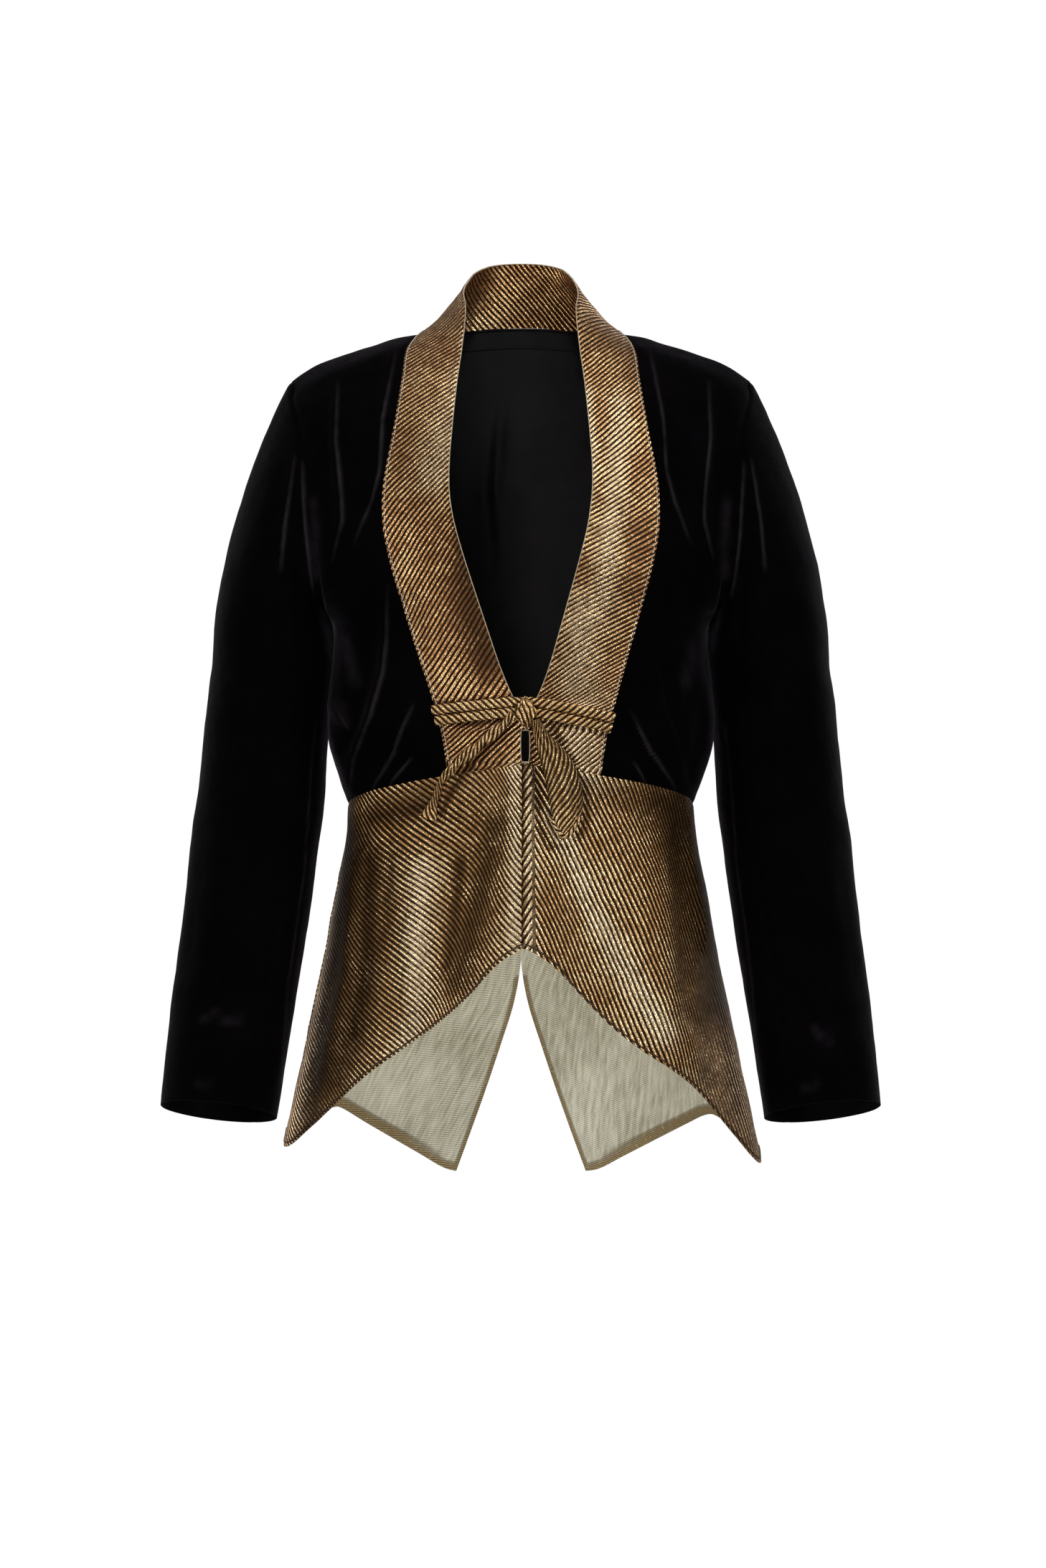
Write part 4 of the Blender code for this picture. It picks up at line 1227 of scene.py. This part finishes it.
# %% Sleeves
SLEEVE_DOWN, SLEEVE_ACROSS = 7, 6
FRONT_FACING, CAP_ROUND, CAP_UNDER = 0.35, 1.3, 1.6
for side, hand in SIDES:
    grid, grid_out = sleeve_grid(side)
    size = grid.shape[1]
    half = size // 2
    pieces = (
        ("top_sleeve_", half + UNDER_BACK, half - UNDER_FRONT + size, (0.36, 0.64), 0.13),
        ("under_sleeve_", half - UNDER_FRONT, half + UNDER_BACK, (0.13, 0.45), 0.048),
    )
    for name, first, last, flat, area in pieces:
        pick = np.arange(first - 1, last + 2) % size
        points, out = (
            part[:, SLEEVE_ACROSS:-SLEEVE_ACROSS]
            for part in fill(grid[:, pick], grid_out[:, pick], SLEEVE_DOWN, SLEEVE_ACROSS)
        )
        front_facing = out[..., 1] < FRONT_FACING
        folded, crest = creased(points, out, SLEEVE_CREASES)
        points = np.where(front_facing[..., None], folded, points)
        # Painted sheen along the seam and in patches, only where the sleeve faces forward.
        crest = np.maximum(crest, SEAM_SHEEN * zone(points, SLEEVE_SEAM))
        crest = np.maximum(crest, SHEEN_PATCH_SHARE * zone(points, SHEEN_PATCHES)) * front_facing
        inward = np.clip(-side * out[..., 0], 0, 1) ** 0.5 * near(points[..., 2], *SWELL_HEIGHTS)
        points = lifted(points, out, SIDE_SWELL[1] * inward)
        points = uneven(points, out, (0.55, 60.0), (0.2, 21.0))
        points = tucked(points, out, ("first_row", "first_column", "last_column"), 0.8, 2.4)
        under = points[:1] + unit(points[:1] - points[1:2]) * CAP_ROUND - out[:1] * CAP_UNDER
        points, out = np.concatenate([under, points]), np.concatenate([out[:1], out])
        marks = {"painted_sheen": np.concatenate([crest[:1], crest])}
        mesh = velvet_shell(name + hand + "_velvet", points, out, marks)
        piece = worn(mesh, "velvet", name + hand)

# %% [markdown]
# The collar band is one long strip, cut across the ribs' own run, so that its ribs lie at about
# 48 degrees to its length all the way. That is why they climb steeply on one side of the chest
# and lie flatter on the other. It is doubled, with its fold at the free edge.

# %% Collar band
RIB_TURN, BAND_DOWN, BAND_ACROSS, BAND_SHELL = 48.0, 10, 8, 1.6
STRIP = np.linspace(0, 1, BAND_STEPS + 1)


def strip(start, start_out, end):
    """A row of the band where it stands up round the neck, from its seam to its free edge."""
    u = STRIP[:, None]
    rise = unit(end - start)
    start = start + rise * NECK_EASE
    level = (start + end) / 2 - np.array([0.0, NECK_MIDDLE, 0.0])
    level[2] = 0.0
    level = unit(level)
    facing = unit(level - rise * (level @ rise))
    line = start + (end - start) * u + facing * np.sin(np.pi * u) ** 2 * BAND_ROLL
    return line, unit(start_out + (facing - start_out) * np.minimum(2 * u, 1))


def band_half(side):
    """The band from the waist to the centre back: a row for each level, from seam to free edge."""
    seam, free = FRONT["seam"], FRONT["free"]
    base, base_out = surface(side, -1, SEAM_ANGLES, seam)
    free_angle = angle_of(FRONT["free_x"], free)
    rows = []
    for i in range(TOP_ROW + 1):
        if i <= LAST_CHEST_ROW:
            angle = SEAM_ANGLES[i] + (free_angle[i] - SEAM_ANGLES[i]) * STRIP
            height = waist(-1, angle) if i == 0 else seam[i] + (free[i] - seam[i]) * STRIP
            rows.append(surface(side, -1, angle, height))
        else:
            end = np.array([side * FRONT["free_x"][i], FREE_EDGE_DEPTHS[i], free[i]])
            rows.append(strip(base[i], base_out[i], end))
    base, base_out = surface(side, 1, angle_of(NECK["seam_x"], NECK["seam"]), NECK["seam"])
    for i in range(len(base)):
        end = np.array([side * NECK["free_x"][i], NECK["free_y"][i], NECK["free"][i]])
        rows.append(strip(base[i], base_out[i], end))
    return tuple(np.array(part) for part in zip(*rows))


right, left = band_half(-1), band_half(1)
band, band_out = (np.concatenate([r, l[-2::-1]]) for r, l in zip(right, left))
middle = len(right[0]) - 1
neck = middle - LAST_CHEST_ROW - 1
weight = STRIP[:, None] ** 0.5
for i in range(middle - neck, middle + neck + 1):
    flat = unit(np.cross(np.gradient(band[i], axis=0), band[i + 1] - band[i - 1]))
    flat *= np.sign((flat * band_out[i]).sum(-1, keepdims=True))
    band_out[i] = unit(band_out[i] * (1 - weight) + flat * weight)
band, band_out = fill(band, band_out, BAND_DOWN, BAND_ACROSS)
from_free = from_edges(band)["last_column"]
along = np.broadcast_to(run_length(band, 0)[:, 12:13], from_free.shape)
cord_swell = 0.8 * bell((from_free - 2.0) / 3.5)
chest_part = (band[..., 1] < -60)[..., None]
band = np.where(chest_part, creased(band, band_out, BAND_CREASES)[0], band)
band = lifted(band, band_out, cord_swell + 0.45 * ripple(band, 26.0) + 0.25 * ripple(band, 11.0))
band = tucked(band, band_out, ("first_row", "last_row", "first_column"), 0.7, 2.0)
# The band carries the zones of painted highlight and painted shade as marks.
mesh = shell(
    "collar_band_lame", band, band_out, BAND_SHELL, (LAME_BAND, LAME_BAND),
    bias_map(along, from_free, RIB_TURN), {"bright": zone(band, PAINTED_HIGHLIGHTS), "painted_shade": zone(band, PAINTED_SHADES)},
    bias_map(along, from_free, -RIB_TURN)
)
collar = worn(mesh, "lame", "collar_band")

# %% [markdown]
# The peplum hangs from the waist seam in four panels. Every panel flares, so it stands off in
# soft flutes, and its ribs keep the slant of its own cut. At the back the two panels part from
# the vent's top down, and the eye sees their wrong side with the hem turned up on it. The vent's
# top is 7 mm lower and the back hems are straighter than the solids', as in the picture.

# %% Peplum
FRONT_HEM = table("""
angle  right  left
0      -507   -508
8      -522   -523
15     -545   -545
24     -570   -572
33     -591   -593
42     -609   -610
51     -629   -629
58     -645   -648
66     -661   -668
74     -673   -684
82     -676   -690
90     -667   -682
""")
BACK_HEM = table("""
angle  right  left
16     -708   -708
17     -714   -714
28     -696   -698
41     -674   -682
50     -659   -669
58     -652   -661
66     -659   -668
74     -671   -683
82     -675   -689
90     -667   -682
""")
VENT_TOP, VENT_ANGLE, VENT_LOW = -544.0, 16.0, -708.0
TURNED_HEM, TURNED_VENT, HEM_FOLD, EDGES_APART = 8.5, 4.2, 3.2, 0.06
HEM_LINES = {-1: ((470, 640), (1542, 1640)), 1: ((816, 994), (1639, 1547))}
HEM_FOLDS = []


def peplum_grid(side, face, top_angle, low_angle, hem):
    """Angles and heights of a peplum panel, from the waist seam down to its hem."""
    v = np.linspace(0, 1, PEPLUM_ROWS + 1)[:, None]
    low = smooth(low_angle, hem["angle"], hem["left" if side > 0 else "right"])
    top = waist(face, top_angle)
    return top_angle + (low_angle - top_angle) * v, top + (low - top) * v


def peplum_map(grid, side, slant, bends=(), turned_back=0.0):
    """The map of a peplum panel: its ribs fall towards the picture's right by the slant.

    A bend is a shift in mm, a width in pixels and the places of a trough. The ribs are shifted by
    a soft step across it, so they run steeply there. A facing, turned back along the centre front,
    has its ribs the other way.
    """
    away, down = run_length(grid, 1), run_length(grid, 0)
    facing = np.where(away < turned_back, -1.0, 1.0)
    across, level = seen(grid)
    shift = 0.0
    for (by, wide), path in bends:
        off = (across - np.interp(level, path[:, 1], path[:, 0])) / wide
        shift = shift + side * by * np.tanh(off) * 0.5 * (facing > 0)
    return bias_map(away, -side * facing * down, slant, shift)


def straight_hem(points, side):
    """Lowers or lifts a back panel's foot by up to 7 mm, so that its hem is straight in the
    picture between the vent and the front panel."""
    across, level = seen(points[-1])
    xs, ys = HEM_LINES[side]
    off_line = (np.interp(across, xs, ys) - level) * PIXEL
    lower = np.clip(off_line * near(across, np.mean(xs), 0.56 * np.ptp(xs)), -7.0, 7.0)
    share = np.linspace(0, 1, len(points))[:, None] ** 3
    return points - np.stack([0 * lower, 0 * lower, lower], -1)[None] * share[..., None]


LEFT_BENDS = placed("""
26 26 : 704 1150, 676 1250, 642 1350, 610 1450
14 20 : 500 1150, 486 1300, 462 1450
""")
RIGHT_BENDS = placed("""
12 22 : 905 1130, 930 1250, 960 1416
""")
PEPLUM_SIDES = (
    (-1, "right", 40.0, LEFT_BENDS, 0.0, 8.0),
    (1, "left", 57.0, RIGHT_BENDS, 10.5, 22.0),
)
PEPLUM_DOWN, PEPLUM_ACROSS, PEPLUM_SHELL = 9, 8, 1.0
PEPLUM_FINISHES, PEPLUM_WAVES = (LAME_PEPLUM, WRONG_SIDE), ((0.5, 48.0), (0.2, 17.0))
band_angles = STRIP * SEAM_ANGLES[0]
front_angles = np.concatenate([band_angles, bodice_rows()[0][0, 1:]])
front_angles[0] = angle_of(FRONT["free_x"][0], WAIST_FRONT)
back_angles = back_half()[0][0]
for side, hand, slant, bends, turned_back, inner_slant in PEPLUM_SIDES:
    angle, height = peplum_grid(side, -1, front_angles, front_angles, FRONT_HEM)
    points, out = fill(*surface(side, -1, angle, height), PEPLUM_DOWN, PEPLUM_ACROSS)
    points, _ = creased(points, out, PEPLUM_CREASES)
    points = uneven(points, out, *PEPLUM_WAVES)
    away = from_edges(points)
    points = lifted(points, out, 0.5 * bell((away["first_column"] - 3.5) / 4.0))
    points = tucked(points, out, ("first_row",), 0.8, 2.0)
    points = tucked(points, out, ("first_column",), 1.3, 1.5)
    fold = np.argmin(np.abs(away["last_row"] - HEM_FOLD), axis=0), np.arange(points.shape[1])
    HEM_FOLDS.append((points[fold] + 0.1 * out[fold], out[fold]))
    opening = bell(away["first_column"] / 1.4)
    points[..., 0] -= (points[:, :1, 0] - side * EDGES_APART) * opening
    # Painted light on the front panel: its highlight zones, and painted shade along the centre-front
    # edge, where the two fronts part.
    marks = {
        "bright": zone(points, PAINTED_HIGHLIGHTS) * (1 - opening),
        "painted_shade": np.maximum(zone(points, PAINTED_SHADES), 1.4 * opening),
    }
    cloth_map = peplum_map(points, side, slant, bends, turned_back)
    mesh = shell(
        "peplum_front_" + hand + "_lame", points, out, PEPLUM_SHELL, PEPLUM_FINISHES, cloth_map, marks
    )
    piece = worn(mesh, "lame", "peplum_front_" + hand)
    "front_" + hand + "_velvet"

    low = VENT_ANGLE + (90 - VENT_ANGLE) * (back_angles / 90)
    angle, height = peplum_grid(side, 1, back_angles, low, BACK_HEM)
    open_share = np.clip((VENT_TOP - height) / (VENT_TOP - VENT_LOW), 0, 1)
    angle = back_angles + (low - back_angles) * open_share
    points, out = fill(*surface(side, 1, angle, height), PEPLUM_DOWN, PEPLUM_ACROSS)
    points = uneven(straight_hem(points, side), out, *PEPLUM_WAVES)
    points = tucked(points, out, ("first_row",), 0.8, 2.0)
    away = from_edges(points)
    vent_edge = np.where(points[..., 2] < VENT_TOP, away["first_column"], 99.0)
    turned = np.clip((TURNED_HEM - away["last_row"]) / 0.8, 0, 1)
    turned = np.clip(turned + np.clip((TURNED_VENT - vent_edge) / 0.8, 0, 1), 0, 1)
    cloth_map = peplum_map(points, side, inner_slant)
    marks = {"turned": turned}
    mesh = shell(
        "peplum_back_" + hand + "_lame", points, out, PEPLUM_SHELL, PEPLUM_FINISHES, cloth_map, marks
    )
    piece = worn(mesh, "lame", "peplum_back_" + hand)

# %% [markdown]
# Rods of cloth and cord are all one shape: an oval carried along a path, closed at both ends.


# %% Rods along a path
def net(rows, columns):
    """The four-sided faces of a grid that is closed round each of its rows."""
    index = np.arange(rows * columns).reshape(rows, columns)
    beside = np.roll(index, -1, axis=1)
    return np.stack([index[:-1], index[1:], beside[1:], beside[:-1]], -1).reshape(-1, 4)


def pointed(values):
    """Rows of values with the first and the last said twice, as the pointed ends of a rod need."""
    return np.concatenate([values[:1], values, values[-1:]])


def rod(path, out, wide, thick, sides=12, slant=0.0):
    """An oval section carried along a path: its points, its faces and its map of the cloth.

    The section is wide across the path and thick off the jacket, and the first and last rings
    shrink to a point. The slant in degrees says how the ribs cross the rod.
    """
    path, out = np.asarray(path, float), np.asarray(out, float)
    wide, thick = (np.broadcast_to(np.asarray(part, float), (len(path),)) for part in (wide, thick))
    run = unit(np.gradient(path, axis=0))
    across = unit(np.cross(run, out))
    up = np.cross(across, run)
    turn = np.arange(sides) * 2 * np.pi / sides
    ring = path[:, None] + across[:, None] * (np.cos(turn) * wide[:, None])[..., None]
    ring = ring + up[:, None] * (np.sin(turn) * thick[:, None])[..., None]
    ring = np.concatenate([path[None, :1] + 0 * ring[:1], ring, path[None, -1:] + 0 * ring[-1:]])
    far = pointed(run_length(path[:, None], 0))
    cloth_map = bias_map(np.abs(turn - np.pi) * wide.max(), far, slant).reshape(-1, 2)
    return ring.reshape(-1, 3), net(len(ring), sides), cloth_map


def joined(name, parts, finish, marks=None):
    """One mesh of several rods, with the doubled points at their ends merged."""
    sizes = np.cumsum([0] + [len(points) for points, _, _ in parts])
    points = np.concatenate([points for points, _, _ in parts])
    faces = np.concatenate([faces + size for (_, faces, _), size in zip(parts, sizes)])
    cloth_map = np.concatenate([part[2] for part in parts])
    mesh = quad_mesh(name, points, faces, (finish,), None, cloth_map, marks)
    shape = bmesh.new()
    shape.from_mesh(mesh)
    bmesh.ops.remove_doubles(shape, verts=shape.verts, dist=1e-7)
    bmesh.ops.recalc_face_normals(shape, faces=shape.faces)
    shape.to_mesh(mesh)
    shape.free()
    mesh.shade_smooth()
    return mesh


# %% [markdown]
# The band's edges are finished with a fine pale cord at the free edge and with a line of pale stitches
# along the seam, which read as a row of dots. The peplum's hems have a thin fold, drawn as a dark rod:
# painted shade along the fold.

# %% Edge cord, hem folds and edge stitches
CORD, HEM_ROD = 0.6, (0.7, 0.6)
STITCH_PITCH, STITCH_LENGTH, STITCH_RADIUS = 3.1, 1.9, 0.45
edge, edge_out = band[4:-4, -1], band_out[4:-4, -1]
cord = rod(edge - edge_out * CORD, edge_out, CORD, CORD, 6)
worn(joined("band_edge_cord", [cord], PALE_CORD), "lame")
folds = [rod(path, path_out, *HEM_ROD, 6, 60.0) for path, path_out in HEM_FOLDS]
worn(joined("peplum_hem_folds", folds, HEM_FOLD_SHADE), "lame")


def stitches(path, out):
    """Small beads of thread in a row: every bead is the same six-sided spindle, put at equal
    steps along the path."""
    far = run_length(path[:, None], 0)[:, 0]
    beads = []
    for at in np.arange(STITCH_PITCH / 2, far[-1], STITCH_PITCH):
        places = at + np.array([-0.5, -0.3, 0.0, 0.3, 0.5]) * STITCH_LENGTH
        line, off = (
            np.stack([np.interp(places, far, part[:, i]) for i in range(3)], -1) for part in (path, out)
        )
        spindle = STITCH_RADIUS * np.array([0.3, 0.8, 1, 0.8, 0.3])
        beads.append(rod(line, off, spindle, STITCH_RADIUS, 6))
    return beads


beads = stitches(band[:, 1] + band_out[:, 1] * 0.35, band_out[:, 1])
worn(joined("band_edge_stitches", beads, STITCH), "lame")

# %% [markdown]
# The tie is made of rouleaux, which are narrow tubes of lame turned right side out. Two of them
# run from each seam of the band to the knot. One end hangs on the wearer's right, two strands
# twisted round each other with a flared tip, and on the left a bow loop, pressed flat, hangs open
# at its foot.

# %% Tie straps
STRAP_HALF, STRAP_THICK, STRAP_END, STRAP_BEND, STRAP_SLANT = 4.0, 2.1, 1.4, 0.9, 34.0
STRAPS = (
    ("right_upper", -1, 73.5, -316.5, -309.0), ("right_lower", -1, 71.0, -325.2, -317.4),
    ("left_upper", 1, 71.5, -322.5, -309.0), ("left_lower", 1, 69.0, -331.3, -317.4),
)


def on_chest(x, height, lift):
    """Points this far off the cloth at the front, at places given from the centre front, and the
    direction off it."""
    sides = [surface(side, -1, angle_of(np.abs(x), height), height) for side, _ in SIDES]
    point, out = (np.where((x < 0)[:, None], right, left) for right, left in zip(*sides))
    return lifted(point, out, lift), out


u = np.linspace(0, 1, 90)
for name, side, seam_x, seam, knot in STRAPS:
    x = side * (seam_x + (STRAP_END - seam_x) * u)
    path, off = on_chest(x, seam + (knot - seam) * u**STRAP_BEND, np.full(90, LAYER_GAP + 1.9))
    width = 1 + 0.05 * np.sin(u * 26 + side) + 0.03 * np.sin(u * 61)
    width = width - 0.3 * np.clip((u - 0.88) / 0.12, 0, 1)
    part = rod(path, off, STRAP_HALF * width, STRAP_THICK, 20, STRAP_SLANT * side)
    strap = worn(joined("tie_strap_" + name + "_lame", [part], LAME_TIE), "lame", "tie_strap_" + name)

# %% [markdown]
# The hanging end is narrow and lies on the band and the peplum. The loop has a front and a back
# layer, which part at its right edge, folds that fan down from the knot, and a turned lower rim.

# %% Tie end and tie loop
TIE_END = table("""
x     height  half  lift
-9    -320.5  3.6   2.7
-22   -333    4.2   2.0
-39   -347    4.6   1.2
-56   -362    4.0   1.2
-66   -374    3.2   1.4
-71   -388    2.6   1.0
-77   -404    3.6   0.6
""")
TIE_LOOP = table("""
x     height  half  lift
8     -324.5  3.4   2.7
13    -339    6.5   2.4
21    -354    10.5  3.0
27.5  -370    13.0  3.4
31    -386    13.8  2.8
32.5  -400    12.0  1.4
31.5  -413    7.0   0.4
30    -420    3.0   0.1
""")
LOOP_ROWS, LOOP_SIDES = 110, 40


def ribbon_path(rows, count, inset):
    """A tie piece's centre line, half width and lift at even steps from the knot to its tip."""
    t = np.arange(len(rows["x"]), dtype=float)
    fine = np.linspace(0, len(t) - 1 - inset, count)
    return [smooth(fine, t, rows[key]) for key in ("x", "height", "half", "lift")] + [fine / fine[-1]]


x, height, half, lift, u = ribbon_path(TIE_END, 120, 0.0)
centre, off = on_chest(x, height, lift + LAYER_GAP + 1.3)
across = unit(np.cross(unit(np.gradient(centre, axis=0)), off))
flare = np.clip((u - 0.82) / 0.18, 0, 1)
strands = []
for turn in (0.0, np.pi):
    phase = turn + u * 2 * np.pi * 2.6 * (1 - 0.25 * flare)
    aside = np.cos(phase) * (0.5 * half) * (1 + 1.1 * flare**2)
    path = centre + across * aside[:, None] + off * (np.sin(phase) * 0.6)[:, None]
    strands.append(rod(path, off, half * (0.6 + 0.55 * flare), 1.6 - 0.5 * flare, 16, 36.0))
piece = worn(joined("tie_end_right_lame", strands, LAME_TIE), "lame", "tie_end_right")


def loop_layer(shift, narrower, lower, inset, folds):
    """One layer of the loop: a flat tube whose front has folds fanning down from the knot."""
    x, height, half, lift, u = ribbon_path(TIE_LOOP, LOOP_ROWS, inset)
    path, off = on_chest(x + shift * np.sin(np.pi * u), height, lift + LAYER_GAP + 1.6 - lower)
    half = np.maximum(half - narrower * np.sin(np.pi * u), 2.0)
    points, faces, cloth_map = rod(path, off, half, 0.95, LOOP_SIDES, -44.0)
    turn = np.arange(LOOP_SIDES) * 2 * np.pi / LOOP_SIDES
    fan = np.cos(turn)[None] * folds + 0.9 * np.sin(3 * u)[:, None]
    depth_down = (1 - 0.75 * u) * np.minimum(1, 8 * u)
    fold = np.cos(fan * np.pi) * (np.sin(turn) > 0) * depth_down[:, None]
    fold = np.concatenate([0 * fold[:1], 0.85 * fold, 0 * fold[-1:]])
    points = lifted(points.reshape(-1, LOOP_SIDES, 3), pointed(off)[:, None], fold)
    # The mark is painted shade: the valleys of the front's folds and the whole back of the tube are
    # darkened.
    valley = np.clip(-1.2 * fold, 0, 1) * (np.sin(turn) > 0) + (np.sin(turn) <= 0)
    return (points.reshape(-1, 3), faces, cloth_map), np.clip(valley, 0, 1).ravel()


rim_u = np.linspace(-1, 1, 50)
rim_x = 32.0 + 12.0 * rim_u + 0.5 * rim_u**2
rim_height = -418.5 + 15.5 * np.abs(rim_u) ** 1.7
rim_path, rim_off = on_chest(rim_x, rim_height, 3.2 + LAYER_GAP - 0.6 * (1 - np.abs(rim_u)))
rim = rod(rim_path, rim_off, 2.0 * (1 - 0.35 * np.abs(rim_u)), 0.8, 14, 40.0)
behind, behind_valley = loop_layer(2.8, 1.0, 1.1, 0.35, 1.0)
before, before_valley = loop_layer(-1.5, 2.0, 0.0, 0.12, 2.4)
# The layer behind is darkened at least halfway all over: painted shade.
marks = {"painted_shade": np.concatenate([np.maximum(behind_valley, 0.55), before_valley, np.zeros(len(rim[0]))])}
mesh = joined("tie_loop_left_lame", [behind, before, rim], LAME_TIE, marks)
piece = worn(mesh, "lame", "tie_loop_left")

# %% [markdown]
# The knot is the rouleaux crossed and pulled tight: a small ball with deep folds running into it.

# %% Knot
KNOT_HEIGHT, KNOT_RADII, KNOT_FORWARD = -318.5, (7.6, 4.6, 10.4), 7.8
turn, rise = np.meshgrid(
    np.linspace(0, 2 * np.pi, 96, endpoint=False), np.linspace(-np.pi / 2, np.pi / 2, 52)
)
lobes = 1 + 0.14 * np.cos(2 * turn + 3.2 * rise) + 0.08 * np.cos(5 * turn - 4 * rise)
lobes = lobes + 0.035 * np.cos(11 * turn + 6 * rise)
seat = surface(1, -1, 0.0, KNOT_HEIGHT)[0] - (0, KNOT_FORWARD, 0)
way = np.stack([np.cos(rise) * np.cos(turn), np.cos(rise) * np.sin(turn), np.sin(rise)], -1)
ball = seat + way * KNOT_RADII * lobes[..., None]
knot_map = np.stack([np.abs(turn - np.pi) * 7.0 + rise * 5.0, rise * 9.0], -1).reshape(-1, 2) * MM
part = (ball.reshape(-1, 3), net(*rise.shape), knot_map)
worn(joined("tie_knot_lame", [part], LAME_TIE), "lame", "tie_knot")
